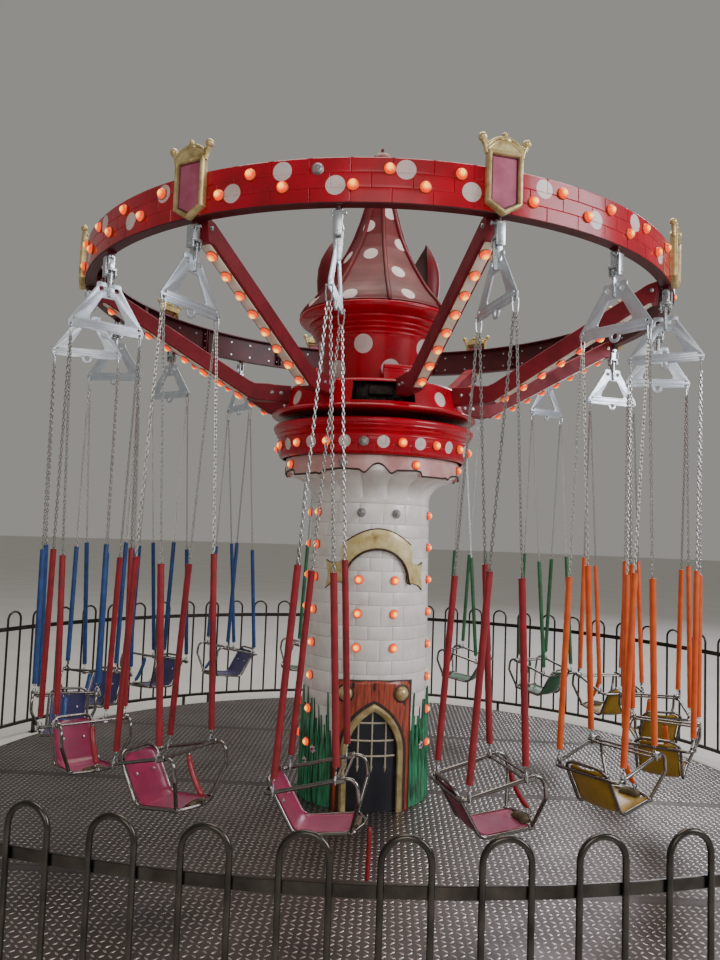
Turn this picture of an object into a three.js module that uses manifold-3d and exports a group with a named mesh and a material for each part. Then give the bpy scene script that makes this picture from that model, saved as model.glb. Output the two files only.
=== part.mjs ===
// Chair swing ride: a castle tower on a round tread-plate deck carries a turning rim with sixteen
// hanging chairs, inside a ring of bow-top fence panels.
// Units are millimetres, +Z is up, the origin is at ground level on the tower's axis.
// The tower's door faces -Y. Angles round the tower are measured from -Y towards +X, in degrees.

import * as THREE from 'three';
import { mergeVertices } from 'three/addons/utils/BufferGeometryUtils.js';
import Module from 'manifold-3d';

const wasm = await Module();
wasm.setup();

// Driving dimensions
const seatGap = 0.3; // gap left between pieces that rest on each other

const deckRadius = 2740;
const deckHeight = 120;
const deckSides = 64;

const shaftBaseRadius = 415;
const shaftTopRadius = 385;
const shaftTop = 1990;
const shaftSides = 24;

const capitalTop = 2244;
const capitalRadius = 577;
const corniceTop = 2462;
const corniceRadius = 664;
const slewRingRadius = 350;
const slewRingTop = 2503.6;

const hubBottom = 2504;
const hubLipBottom = 2510;
const hubLipRadius = 678;
const hubDrumRadius = 602;
const hubTop = 2715;
const neckTop = 3205;
const roofTurn = -8.6; // the roof's ribs lie this far behind the arms
const coneTop = 4200;
const finialTop = 4420;

const armCount = 8;
const rotorPhase = 8.6; // where the first arm points
const armWidth = 84;
const rimRadius = 1865;
const rimThickness = 60;
const rimBottom = 3214;
const rimTop = 3420;
const rimSides = 48;

const swingCount = 16;
const swingPhase = rotorPhase - 22.5; // where the first chair hangs
const hangRadius = 1832;
const pinHeight = 3181;
const pinRadius = 7;
const pinPlay = 0.4;
const armSpread = 170; // how far a chair's arm tubes lie from its middle
const chairTube = 18;
const seatHalfWidth = 118;
const seatThickness = 12;

const fenceRadius = 3155;
const fencePanels = 6;
const hoopsPerPanel = 13;
const hoopPitch = 360 / (fencePanels * hoopsPerPanel);
const fencePhase = -8.28 + 7 * hoopPitch; // where the first panel starts
const barThickness = 18;
const hoopTop = 1037;
const entrancePanel = 0; // this panel stops four hoops short, for the way in
const entranceHoops = 4;

// Materials
function paint(color, roughness, metalness) {
  return new THREE.MeshStandardMaterial({ color, roughness, metalness });
}

const glossRed = () => paint(0xb01c28, 0.25, 0.0);
const beamRed = () => paint(0x7a1622, 0.35, 0.1);
const towerWhite = () => paint(0xd6d2cc, 0.3, 0.0);
const woodOrange = () => paint(0x9a4a22, 0.45, 0.0);
const doorNavy = () => paint(0x232838, 0.4, 0.0);
const scrollGold = () => paint(0xb59a55, 0.4, 0.1);
const treadSteel = () => paint(0x8d8785, 0.4, 0.85);
const fenceSteel = () => paint(0x5a5856, 0.35, 0.9);
const zincSteel = () => paint(0xb4b8ba, 0.4, 0.9);

// Four chairs in a row share a colour: magenta, mustard, green, then navy
function seatPaint(index) {
  const colours = [0x8e2a4c, 0xa8861e, 0x2c5a3a, 0x2a2550];
  const perColour = swingCount / colours.length;
  const firstMagenta = swingCount - 2;
  const place = (index + swingCount - firstMagenta) % swingCount;
  return paint(colours[Math.floor(place / perColour)], 0.4, 0.1);
}

// Solids from three.js geometry
function solidOf(geometry) {
  const bare = geometry.clone();
  bare.deleteAttribute('normal');
  bare.deleteAttribute('uv');
  const merged = mergeVertices(bare, 1e-3);
  return new wasm.Manifold(
    new wasm.Mesh({
      numProp: 3,
      vertProperties: new Float32Array(merged.attributes.position.array),
      triVerts: new Uint32Array(merged.index.array),
    }),
  );
}

function geometryOf(solid) {
  const mesh = solid.getMesh();
  const geometry = new THREE.BufferGeometry();
  geometry.setAttribute('position', new THREE.BufferAttribute(new Float32Array(mesh.vertProperties), 3));
  geometry.setIndex(new THREE.BufferAttribute(new Uint32Array(mesh.triVerts), 1));
  geometry.computeVertexNormals();
  return geometry;
}

function joined(solids) {
  return solids.reduce((whole, next) => whole.add(next));
}

function box(x, y, z, width, depth, height) {
  const geometry = new THREE.BoxGeometry(width, depth, height);
  geometry.translate(x, y, z + height / 2);
  return solidOf(geometry);
}

// A straight bar of few sides from one point to another
function bar(from, to, radius, sides) {
  const axis = new THREE.Vector3().subVectors(to, from);
  const geometry = new THREE.CylinderGeometry(radius, radius, axis.length(), sides);
  geometry.rotateY(Math.PI / sides);
  const up = new THREE.Vector3(0, 1, 0);
  const turn = new THREE.Quaternion().setFromUnitVectors(up, axis.clone().normalize());
  geometry.applyQuaternion(turn);
  const middle = new THREE.Vector3().addVectors(from, to).multiplyScalar(0.5);
  geometry.translate(middle.x, middle.y, middle.z);
  return solidOf(geometry);
}

// A turned solid: the profile lists [radius, height] pairs, upwards on the outside
function turned(profile, sides) {
  const points = profile.map(([radius, height]) => new THREE.Vector2(radius, height));
  const geometry = new THREE.LatheGeometry(points, sides);
  geometry.rotateX(Math.PI / 2);
  return solidOf(geometry);
}

function shapeOf(points) {
  return new THREE.Shape(points.map(([x, y]) => new THREE.Vector2(x, y)));
}

// A flat plate drawn as [x, z] and extruded along Y, centred on y = middle
function plate(shape, thickness, middle) {
  const geometry = new THREE.ExtrudeGeometry(shape, { depth: thickness, bevelEnabled: false });
  geometry.translate(0, 0, -thickness / 2);
  geometry.rotateX(Math.PI / 2);
  geometry.translate(0, middle, 0);
  return solidOf(geometry);
}

// A flat plate drawn as [y, z] and extruded along X, centred on x = middle
function sidePlate(shape, thickness, middle) {
  const geometry = new THREE.ExtrudeGeometry(shape, { depth: thickness, bevelEnabled: false });
  geometry.translate(0, 0, -thickness / 2);
  geometry.rotateX(Math.PI / 2);
  geometry.rotateZ(Math.PI / 2);
  geometry.translate(middle, 0, 0);
  return solidOf(geometry);
}

// Points of a line moved sideways by a distance, mitred at each corner
function offset(points, distance, closed) {
  const count = points.length;
  return points.map((point, index) => {
    const before = closed || index > 0 ? points[(index + count - 1) % count] : null;
    const after = closed || index < count - 1 ? points[(index + 1) % count] : null;
    const normals = [];
    if (before) {
      normals.push(sideways(before, point));
    }
    if (after) {
      normals.push(sideways(point, after));
    }
    const sum = normals.reduce((a, b) => [a[0] + b[0], a[1] + b[1]]);
    const scale = distance * normals.length / (sum[0] ** 2 + sum[1] ** 2);
    return [point[0] + sum[0] * scale, point[1] + sum[1] * scale];
  });
}

function sideways(from, to) {
  const length = Math.hypot(to[0] - from[0], to[1] - from[1]);
  return [(to[1] - from[1]) / length, -(to[0] - from[0]) / length];
}

function loopShape(points, width) {
  const shape = shapeOf(offset(points, width / 2, true));
  shape.holes.push(new THREE.Path(offset(points, -width / 2, true).map(([x, y]) => new THREE.Vector2(x, y))));
  return shape;
}

function stripShape(points, width) {
  const near = offset(points, width / 2, false);
  const far = offset(points, -width / 2, false).reverse();
  return shapeOf([...near, ...far]);
}

const radians = THREE.MathUtils.degToRad;

// Names a solid and puts it in the group, turned to its angle round the tower:
// in the solid's own frame X points outwards and Y points the way the ride turns
const ride = new THREE.Group();

function place(name, solid, material, angle) {
  const mesh = new THREE.Mesh(geometryOf(solid), material);
  mesh.name = name;
  mesh.rotation.z = radians(angle - 90);
  ride.add(mesh);
}

function numbered(name, index) {
  return `${name}_${String(index + 1).padStart(2, '0')}`;
}

// Deck
function deck() {
  return turned([[0, 0], [deckRadius, 0], [deckRadius, deckHeight], [0, deckHeight], [0, 0]], deckSides);
}

// Tower
function shaftRadiusAt(height) {
  const share = (height - deckHeight) / (shaftTop - deckHeight);
  return shaftBaseRadius + (shaftTopRadius - shaftBaseRadius) * share;
}

function towerShaft() {
  const foot = deckHeight + seatGap;
  return turned([[0, foot], [shaftBaseRadius, foot], [shaftTopRadius, shaftTop], [0, shaftTop], [0, foot]], shaftSides);
}

function towerCapital() {
  const foot = shaftTop + seatGap;
  const profile = [
    [0, foot],
    [shaftTopRadius, foot],
    [417, 2032],
    [463, 2070],
    [538, 2106],
    [capitalRadius - 9, 2122],
    [capitalRadius, 2128],
    [capitalRadius, capitalTop],
    [0, capitalTop],
    [0, foot],
  ];
  return turned(profile, shaftSides);
}

function towerCornice() {
  const foot = capitalTop + seatGap;
  const profile = [
    [0, foot],
    [596, foot],
    [622, 2270],
    [632, 2350],
    [624, 2374],
    [640, 2394],
    [656, 2416],
    [corniceRadius, 2438],
    [corniceRadius, 2450],
    [640, corniceTop],
    [slewRingRadius, corniceTop],
    [slewRingRadius, slewRingTop],
    [0, slewRingTop],
    [0, foot],
  ];
  return turned(profile, shaftSides);
}

// A shell that fits round the shaft between two heights
function shaftShell(low, high, thickness) {
  const inner = seatGap + 0.2;
  const profile = [
    [shaftRadiusAt(low) + inner, low],
    [shaftRadiusAt(low) + thickness, low],
    [shaftRadiusAt(high) + thickness, high],
    [shaftRadiusAt(high) + inner, high],
    [shaftRadiusAt(low) + inner, low],
  ];
  return turned(profile, shaftSides);
}

// A pointed arch, as half its width, the height of its springing and of its point
function pointedArch(half, foot, springing, point) {
  const shape = new THREE.Shape();
  shape.moveTo(-half, foot);
  shape.lineTo(half, foot);
  shape.lineTo(half, springing);
  shape.quadraticCurveTo(half * 0.9, springing + (point - springing) * 0.6, 0, point);
  shape.quadraticCurveTo(-half * 0.9, springing + (point - springing) * 0.6, -half, springing);
  return shapeOf(shape.getPoints(4).map((p) => [p.x, p.y]));
}

const doorHalfWidth = 147;
const doorSpringing = 500;
const doorPoint = 722;
const surroundHalfWidth = 233;
const surroundTop = 888;

// What stands in front of the shaft lies in the half with negative y
function inFront(shape) {
  return plate(shape, 600, -300);
}

function doorSurround() {
  const low = deckHeight + seatGap;
  const outline = shapeOf([
    [-surroundHalfWidth, low - 10],
    [surroundHalfWidth, low - 10],
    [surroundHalfWidth, surroundTop + 10],
    [-surroundHalfWidth, surroundTop + 10],
  ]);
  const panel = shaftShell(low, surroundTop, 30).intersect(inFront(outline));
  return panel.subtract(inFront(pointedArch(doorHalfWidth, low - 20, doorSpringing, doorPoint)));
}

function doorLeaf() {
  const low = deckHeight + seatGap;
  const gap = 0.4;
  const outline = pointedArch(doorHalfWidth - gap, low - 20, doorSpringing - gap, doorPoint - gap);
  return shaftShell(low, surroundTop, 12).intersect(inFront(outline));
}

function scrollBanner() {
  const outline = shapeOf([
    [-312, 1500],
    [-236, 1530],
    [-212, 1600],
    [-110, 1660],
    [0, 1680],
    [110, 1660],
    [212, 1600],
    [236, 1530],
    [312, 1500],
    [312, 1650],
    [225, 1705],
    [120, 1775],
    [0, 1800],
    [-120, 1775],
    [-225, 1705],
    [-312, 1650],
  ]);
  return shaftShell(1480, 1820, 26).intersect(inFront(outline));
}

// Rotor. The hub is drawn larger by a margin where it cuts the arms' ends to fit it.
function slewingHub(margin) {
  const profile = [
    [0, hubBottom],
    [slewRingRadius, hubBottom],
    [slewRingRadius, hubLipBottom],
    [hubLipRadius - 12 + margin, hubLipBottom],
    [hubLipRadius + margin, hubLipBottom + 14],
    [hubLipRadius - 12 + margin, hubLipBottom + 30],
    [hubDrumRadius + margin, hubLipBottom + 40 + margin],
    [hubDrumRadius - 34 + margin, hubTop - 20],
    [hubDrumRadius - 54 + margin, hubTop + margin],
    [0, hubTop + margin],
    [0, hubBottom],
  ];
  return turned(profile, shaftSides);
}

function neckDrum() {
  const foot = hubTop + seatGap;
  const profile = [
    [0, foot],
    [340, foot],
    [394, 3030],
    [430, 3092],
    [470, 3140],
    [516, 3174],
    [524, 3190],
    [514, neckTop],
    [0, neckTop],
    [0, foot],
  ];
  return turned(profile, shaftSides);
}

// The roof has eight ribs over the arms, with hollow panels between them
function coneRoof() {
  const foot = neckTop + seatGap;
  const profile = [
    [0, foot],
    [512, foot],
    [490, 3250],
    [428, 3323],
    [345, 3440],
    [273, 3557],
    [175, 3749],
    [92, 4020],
    [52, coneTop],
    [0, coneTop],
    [0, foot],
  ];
  const points = profile.map(([radius, height]) => new THREE.Vector2(radius, height));
  const geometry = new THREE.LatheGeometry(points, 2 * armCount);
  geometry.rotateX(Math.PI / 2);
  const position = geometry.attributes.position;
  const hollow = 0.94;
  for (let index = 0; index < position.count; index += 1) {
    const turn = Math.round(Math.atan2(position.getY(index), position.getX(index)) / (Math.PI / armCount));
    if (Math.abs(turn % 2) === 1) {
      position.setX(index, position.getX(index) * hollow);
      position.setY(index, position.getY(index) * hollow);
    }
  }
  const ball = turned(
    [
      [0, coneTop - 20],
      [60, coneTop],
      [86, coneTop + 80],
      [57, coneTop + 155],
      [12, coneTop + 172],
      [8, finialTop],
      [0, finialTop],
      [0, coneTop - 20],
    ],
    12,
  );
  return solidOf(geometry).rotate([0, 0, roofTurn]).add(ball);
}

// A tall pointed hood on the roof, drawn as [x, z] on its own side
function roofHood(direction) {
  const hoodWidth = 130;
  const outline = shapeOf([
    [240, 3420],
    [398, 3318],
    [412, 3400],
    [418, 3480],
    [410, 3560],
    [380, 3650],
    [322, 3745],
    [285, 3690],
    [240, 3600],
  ]);
  const hood = plate(outline, hoodWidth, 0);
  return hood.rotate([0, 0, direction]);
}

const armInner = 560;
const armSlope = 0.568;
const armKnee = 850; // inside this radius the arm runs level to the hub
const armKneeFoot = 2616;
const armDepth = 108;

function armUnderside(radius) {
  return armKneeFoot + armSlope * (radius - armKnee);
}

function arm(hubSpace) {
  const outer = (rimRadius - rimThickness) * Math.cos(Math.PI / rimSides) - seatGap;
  const levelFoot = hubLipBottom + 92;
  const levelTop = levelFoot + armDepth;
  const outline = shapeOf([
    [armInner, levelFoot],
    [armKnee - 40, levelFoot],
    [armKnee, armKneeFoot],
    [outer - 60, armUnderside(outer - 60)],
    [outer, armUnderside(outer - 60)],
    [outer, rimBottom + 50],
    [outer - 70, armUnderside(outer - 70) + armDepth],
    [armKnee + 50, armUnderside(armKnee + 50) + armDepth],
    [armKnee - 130, levelTop],
    [armInner, levelTop],
  ]);
  return plate(outline, armWidth, 0).subtract(hubSpace);
}

function crest(angle) {
  const outline = shapeOf([
    [0, 3192],
    [88, 3245],
    [88, 3480],
    [112, 3520],
    [100, 3553],
    [72, 3530],
    [36, 3545],
    [12, 3576],
    [-12, 3576],
    [-36, 3545],
    [-72, 3530],
    [-100, 3553],
    [-112, 3520],
    [-88, 3480],
    [-88, 3245],
  ]);
  const inner = rimRadius * Math.cos(Math.PI / rimSides) - 3;
  const outer = inner + 43;
  return sidePlate(outline, outer - inner, (outer + inner) / 2).rotate([0, 0, angle]);
}

const lugHalf = 8;
const earHalf = 3;
const earGap = 2;

// The lug and its pin, on which one swing hangs
function lug(angle) {
  const tongue = box(hangRadius, 0, pinHeight - 18, 36, 2 * lugHalf, rimBottom - pinHeight + 22);
  const reach = lugHalf + earGap + 2 * earHalf + 10;
  const pin = bar(
    new THREE.Vector3(hangRadius, -reach, pinHeight),
    new THREE.Vector3(hangRadius, reach, pinHeight),
    pinRadius,
    6,
  );
  return tongue.add(pin).rotate([0, 0, angle]);
}

function rim() {
  const inner = rimRadius - rimThickness;
  const profile = [
    [inner, rimBottom],
    [rimRadius, rimBottom],
    [rimRadius, rimTop],
    [inner, rimTop],
    [inner, rimBottom],
  ];
  const pieces = [turned(profile, rimSides).rotate([0, 0, 180 / rimSides])];
  for (let index = 0; index < armCount; index += 1) {
    pieces.push(crest(index * 360 / armCount));
  }
  for (let index = 0; index < swingCount; index += 1) {
    pieces.push(lug(index * 360 / swingCount));
  }
  return joined(pieces);
}

// Swings: the spreader plate hangs from its pin by a bar, and carries four chains
const spreaderTop = pinHeight - 137;
const spreaderFoot = pinHeight - 402;
const chainSpread = 183;
const rearChain = -150;
const frontChain = 100;

function ear(side) {
  const shape = shapeOf([
    [hangRadius - 15, pinHeight - 56],
    [hangRadius + 15, pinHeight - 56],
    [hangRadius + 15, pinHeight + 14],
    [hangRadius - 15, pinHeight + 14],
  ]);
  const hole = pinRadius + pinPlay;
  const corners = [[-hole, -hole], [hole, -hole], [hole, hole], [-hole, hole]];
  shape.holes.push(new THREE.Path(corners.map(([x, z]) => new THREE.Vector2(hangRadius + x, pinHeight + z))));
  return plate(shape, 2 * earHalf, side * (lugHalf + earGap + earHalf));
}

function spreader() {
  const shape = shapeOf([
    [hangRadius - 196, spreaderFoot],
    [hangRadius + 196, spreaderFoot],
    [hangRadius + 203, spreaderFoot + 34],
    [hangRadius + 66, spreaderTop],
    [hangRadius - 66, spreaderTop],
    [hangRadius - 203, spreaderFoot + 34],
  ]);
  const opening = [
    [hangRadius - 105, spreaderFoot + 56],
    [hangRadius + 105, spreaderFoot + 56],
    [hangRadius + 34, spreaderTop - 85],
    [hangRadius - 34, spreaderTop - 85],
  ];
  shape.holes.push(new THREE.Path(opening.map(([x, y]) => new THREE.Vector2(x, y))));
  return plate(shape, 8, 0);
}

// The side of a chair where it hangs at rest, as [forward, height above the ground]
const armRear = [-187, 723];
const armFront = [125, 801];
const armNose = [194, 716]; // here the arm's front bend ends and its leg starts
const legFoot = [160, 578];
const armLine = [armRear, armFront, [172, 783], [194, 750], armNose];
const seatLine = [[-193, 760], [-150, 688], [-92, 582], [-40, 553], [72, 563], [186, 580]];
const lapBar = 115;

function armHeight(forward) {
  const slope = (armFront[1] - armRear[1]) / (armFront[0] - armRear[0]);
  return armRear[1] + slope * (forward - armRear[0]);
}

function chain(side, forward) {
  const radius = 11;
  const clearance = chairTube / 2 + 3.2; // the foot is cut square, and the arm slopes under it
  const top = new THREE.Vector3(hangRadius + side * chainSpread, 0, spreaderFoot + 16);
  const foot = new THREE.Vector3(hangRadius + side * armSpread, forward, armHeight(forward) + clearance);
  return bar(foot, top, radius, 4);
}

function suspension() {
  const bridge = box(hangRadius, 0, pinHeight - 56, 30, 2 * (lugHalf + earGap + 2 * earHalf), 22);
  const hangBar = box(hangRadius, 0, spreaderTop - 74, 12, 44, pinHeight - 40 - spreaderTop + 74);
  const chains = [];
  for (const side of [-1, 1]) {
    chains.push(chain(side, rearChain), chain(side, frontChain));
  }
  return joined([ear(-1), ear(1), bridge, hangBar, spreader(), ...chains]);
}

// A tube of a chair between two points, each given by its side offset and its [forward, height]
function chairBar(fromSide, from, toSide, to) {
  const radius = 11;
  return bar(new THREE.Vector3(fromSide, ...from), new THREE.Vector3(toSide, ...to), radius, 4);
}

function chair() {
  const pieces = [];
  for (const side of [-1, 1]) {
    pieces.push(sidePlate(stripShape(armLine, chairTube), chairTube, side * armSpread));
    pieces.push(chairBar(side * armSpread, armNose, side * (seatHalfWidth - seatThickness / 2), legFoot));
  }
  const reach = armSpread - chairTube / 4;
  pieces.push(chairBar(-reach, armRear, reach, armRear));
  pieces.push(chairBar(-reach, [lapBar, armHeight(lapBar)], reach, [lapBar, armHeight(lapBar)]));
  pieces.push(sidePlate(stripShape(seatLine, seatThickness), 2 * seatHalfWidth, 0));
  return joined(pieces).translate([hangRadius, 0, 0]);
}

// Fence: round bars bent into hoops, welded to a flat rail behind them and standing on a foot rail
const upperRail = 874;
const upperRailThickness = 8;
const upperRailTall = 34;
const weldDepth = 2; // how far a bar sinks into a rail
const footRail = 96;
const footRailThickness = 26;
const footRailTall = 24;
const footWidth = 24;
const footPlateWidth = 56;
const footPlateTall = 8;

function hoop(angle) {
  const spread = fenceRadius * radians(hoopPitch / 4);
  const outer = spread + barThickness / 2;
  const inner = spread - barThickness / 2;
  const springing = hoopTop - outer;
  const foot = footRail + footRailTall - weldDepth;
  const steps = 4;
  const outerArc = [];
  const innerArc = [];
  for (let step = 0; step <= steps; step += 1) {
    const turn = Math.PI * step / steps;
    outerArc.push([outer * Math.cos(turn), springing + outer * Math.sin(turn)]);
    innerArc.push([inner * Math.cos(turn), springing + inner * Math.sin(turn)]);
  }
  const outline = [[outer, foot], ...outerArc, [-outer, foot], [-inner, foot], ...innerArc.reverse(), [inner, foot]];
  return sidePlate(shapeOf(outline), barThickness, fenceRadius).rotate([0, 0, angle]);
}

// A rail bent at every space between two hoops, given by the radius of its outer flats
function fenceRail(hoops, outerFlat, thickness, bottom, tall) {
  const joint = 0.003; // degrees left open at each end, next to the neighbouring panel
  const outer = outerFlat / Math.cos(radians(hoopPitch / 2));
  const inner = outer - thickness;
  const corners = [];
  for (let step = 0; step <= hoops; step += 1) {
    const drawnIn = step === 0 ? joint : step === hoops ? -joint : 0;
    corners.push(radians(step * hoopPitch + drawnIn));
  }
  const outside = corners.map((turn) => [outer * Math.cos(turn), outer * Math.sin(turn)]);
  const inside = corners.map((turn) => [inner * Math.cos(turn), inner * Math.sin(turn)]).reverse();
  const shape = shapeOf([...outside, ...inside]);
  const geometry = new THREE.ExtrudeGeometry(shape, { depth: tall, bevelEnabled: false });
  geometry.translate(0, 0, bottom);
  return solidOf(geometry);
}

function fenceFoot(angle) {
  const leg = box(fenceRadius, 0, 0, footWidth, footWidth, footRail + weldDepth);
  const sole = box(fenceRadius, 0, 0, footPlateWidth, footPlateWidth, footPlateTall);
  return leg.add(sole).rotate([0, 0, angle]);
}

function fencePanel(index) {
  const hoops = index === entrancePanel ? hoopsPerPanel - entranceHoops : hoopsPerPanel;
  const upperFlat = fenceRadius - barThickness / 2 + weldDepth;
  const footFlat = fenceRadius + footRailThickness / 2;
  const pieces = [
    fenceRail(hoops, upperFlat, upperRailThickness, upperRail, upperRailTall),
    fenceRail(hoops, footFlat, footRailThickness, footRail, footRailTall),
  ];
  for (let step = 0; step < hoops; step += 1) {
    pieces.push(hoop((step + 0.5) * hoopPitch));
  }
  for (const step of [0, Math.floor(hoops / 2), hoops - 1]) {
    pieces.push(fenceFoot((step + 0.5) * hoopPitch));
  }
  return joined(pieces);
}

// Assembly
const front = 90; // turns a solid drawn facing -Y so that it stays there

place('deck_platform', deck(), treadSteel(), front);
place('tower_shaft', towerShaft(), towerWhite(), front);
place('tower_capital', towerCapital(), towerWhite(), front);
place('tower_cornice', towerCornice(), glossRed(), front);
place('door_surround', doorSurround(), woodOrange(), front);
place('door_leaf', doorLeaf(), doorNavy(), front);
place('scroll_banner', scrollBanner(), scrollGold(), front);

for (let index = 0; index < fencePanels; index += 1) {
  const start = fencePhase + index * hoopsPerPanel * hoopPitch;
  place(`fence_panel_${index + 1}`, fencePanel(index), fenceSteel(), start);
}

place('slewing_hub', slewingHub(0), glossRed(), rotorPhase);
place('neck_drum', neckDrum(), glossRed(), rotorPhase);
const hoodSide = 73.5; // the two hoods stand left and right of the ride's front
const roof = joined([coneRoof(), roofHood(hoodSide), roofHood(hoodSide + 180)]);
place('cone_roof', roof, glossRed(), rotorPhase);
place('rim', rim(), glossRed(), rotorPhase);
const hubSpace = slewingHub(seatGap + 0.1);
for (let index = 0; index < armCount; index += 1) {
  place(`arm_${index + 1}`, arm(hubSpace), beamRed(), rotorPhase + index * 360 / armCount);
}

const oneSuspension = suspension();
const oneChair = chair();
for (let index = 0; index < swingCount; index += 1) {
  const angle = swingPhase + index * 360 / swingCount;
  place(numbered('suspension', index), oneSuspension, zincSteel(), angle);
  place(numbered('chair', index), oneChair, seatPaint(index), angle);
}

export default ride;
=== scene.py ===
import math

import bmesh
import bpy
from mathutils import Matrix, Vector


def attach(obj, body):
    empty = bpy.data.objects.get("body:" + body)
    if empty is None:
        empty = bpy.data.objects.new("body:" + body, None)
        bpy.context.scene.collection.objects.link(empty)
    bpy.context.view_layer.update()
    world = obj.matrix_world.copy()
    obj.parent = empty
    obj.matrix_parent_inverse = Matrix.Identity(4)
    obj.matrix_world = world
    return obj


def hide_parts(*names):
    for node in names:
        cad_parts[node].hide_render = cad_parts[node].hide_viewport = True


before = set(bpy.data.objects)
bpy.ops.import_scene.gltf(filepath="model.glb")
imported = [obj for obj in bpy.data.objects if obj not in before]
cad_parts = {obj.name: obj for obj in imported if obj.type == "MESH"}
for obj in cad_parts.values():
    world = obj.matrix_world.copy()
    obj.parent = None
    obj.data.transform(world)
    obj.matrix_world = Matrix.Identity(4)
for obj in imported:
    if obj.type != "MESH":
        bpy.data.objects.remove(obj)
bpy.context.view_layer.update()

# Camera
# It stands in front of the ride, a little left of the door, at a grown-up's eye height on the floor.
# Angles round the tower are in degrees from -Y towards +X; the photo's frame is 720 by 960.
CAMERA_PLACE = (-0.726, -5.073, 1.7815)
CAMERA_HEADING = 7.28
CAMERA_PITCH = 3.87
CAMERA_ROLL = 2.02
LENS_MM = 28.86


def aim(heading, pitch, roll):
    """A camera's turn from its heading towards +X, its pitch upwards and its roll clockwise."""
    level = Matrix.Rotation(-math.radians(heading), 3, "Z")
    level = level @ Matrix.Rotation(math.radians(90 + pitch), 3, "X")
    return (level @ Matrix.Rotation(math.radians(roll), 3, "Z")).to_euler()


camera = bpy.data.objects.new("camera", bpy.data.cameras.new("camera"))
camera.location = CAMERA_PLACE
camera.rotation_euler = aim(CAMERA_HEADING, CAMERA_PITCH, CAMERA_ROLL)
camera.data.lens = LENS_MM
camera.data.sensor_fit = "AUTO"
bpy.context.scene.collection.objects.link(camera)
bpy.context.scene.camera = camera

# Studio
# A pale seamless floor, soft lights above, in front and behind, and an even pale sky all round.


def linear(colour):
    """An sRGB hex colour as the linear values that a shader takes."""
    parts = [int(colour[start:start + 2], 16) / 255 for start in (1, 3, 5)]
    return (*[p / 12.92 if p <= 0.04045 else ((p + 0.055) / 1.055) ** 2.4 for p in parts], 1.0)


def add(tree, kind, inputs, **settings):
    """A node with its settings. An input is a plain value, or another node's output to link."""
    made = tree.nodes.new("ShaderNode" + kind)
    for name, value in settings.items():
        setattr(made, name, value)
    for name, value in inputs.items():
        if isinstance(value, bpy.types.NodeSocket):
            tree.links.new(value, made.inputs[name])
        else:
            made.inputs[name].default_value = value
    return made


def finish_of(name, values):
    """A new material with plain values on its shader; returns it with its node tree and shader."""
    made = bpy.data.materials.new(name)
    made.use_nodes = True
    shader = made.node_tree.nodes["Principled BSDF"]
    for socket, value in values.items():
        shader.inputs[socket].default_value = value
    return made, made.node_tree, shader


def noise(tree, size_mm, detail=3.0, roughness=0.5, stretch=(1, 1, 1)):
    """Cloudy noise whose features are about that many millimetres across on the object."""
    place = add(tree, "TexCoord", {}).outputs["Object"]
    scaled = add(tree, "Mapping", {"Vector": place, "Scale": stretch}).outputs["Vector"]
    inputs = {"Vector": scaled, "Scale": 1000 / size_mm, "Detail": detail, "Roughness": roughness}
    return add(tree, "TexNoise", inputs).outputs["Fac"]


def ramp(tree, value, low, high, low_colour, high_colour):
    """A colour that runs from one to another while the value goes from low to high."""
    made = add(tree, "ValToRGB", {"Fac": value})
    for stop, place, colour in zip(made.color_ramp.elements, (low, high), (low_colour, high_colour)):
        stop.position = place
        stop.color = linear(colour)
    return made.outputs["Color"]


def between(tree, value, low, high, start, end):
    """A number that runs from start to end while the value goes from low to high."""
    inputs = {"Value": value, "From Min": low, "From Max": high, "To Min": start, "To Max": end}
    return add(tree, "MapRange", inputs).outputs["Result"]


def bumps(tree, shader, height, depth_mm, strength=1.0):
    """Raises the surface by a height map, its full range being that many millimetres."""
    made = add(tree, "Bump", {"Height": height, "Distance": depth_mm / 1000, "Strength": strength})
    tree.links.new(made.outputs["Normal"], shader.inputs["Normal"])


def clouded(name, values, dark, light, size_mm, low=0.3, high=0.7, dulls=None, **shape):
    """A material clouded from dark to light between two values of its noise, whose shape is given.

    Dulls gives the roughness of the dark and of the light parts."""
    made, tree, shader = finish_of(name, values)
    cloud = noise(tree, size_mm, **shape)
    tree.links.new(ramp(tree, cloud, low, high, dark, light), shader.inputs["Base Color"])
    if dulls:
        tree.links.new(between(tree, cloud, 0.3, 0.7, *dulls), shader.inputs["Roughness"])
    return made


def studio_floor():
    """Pale matt floor paint, very slightly mottled so that it doesn't read as empty."""
    return clouded("studio_floor", {"Roughness": 0.75}, "#cfccc7", "#d8d5d0", 900)


def soft_light(name, place, target, size, watts, colour):
    """A square area light that faces a target."""
    lamp = bpy.data.lights.new(name, "AREA")
    lamp.size = size
    lamp.energy = watts
    lamp.color = linear(colour)[:3]
    holder = bpy.data.objects.new(name, lamp)
    holder.location = place
    holder.rotation_euler = (Vector(target) - Vector(place)).to_track_quat("-Z", "Y").to_euler()
    bpy.context.scene.collection.objects.link(holder)


bpy.ops.mesh.primitive_circle_add(vertices=96, radius=90, fill_type="NGON")
floor = bpy.context.object
floor.name = "studio_floor"
floor.data.materials.append(studio_floor())

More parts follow.
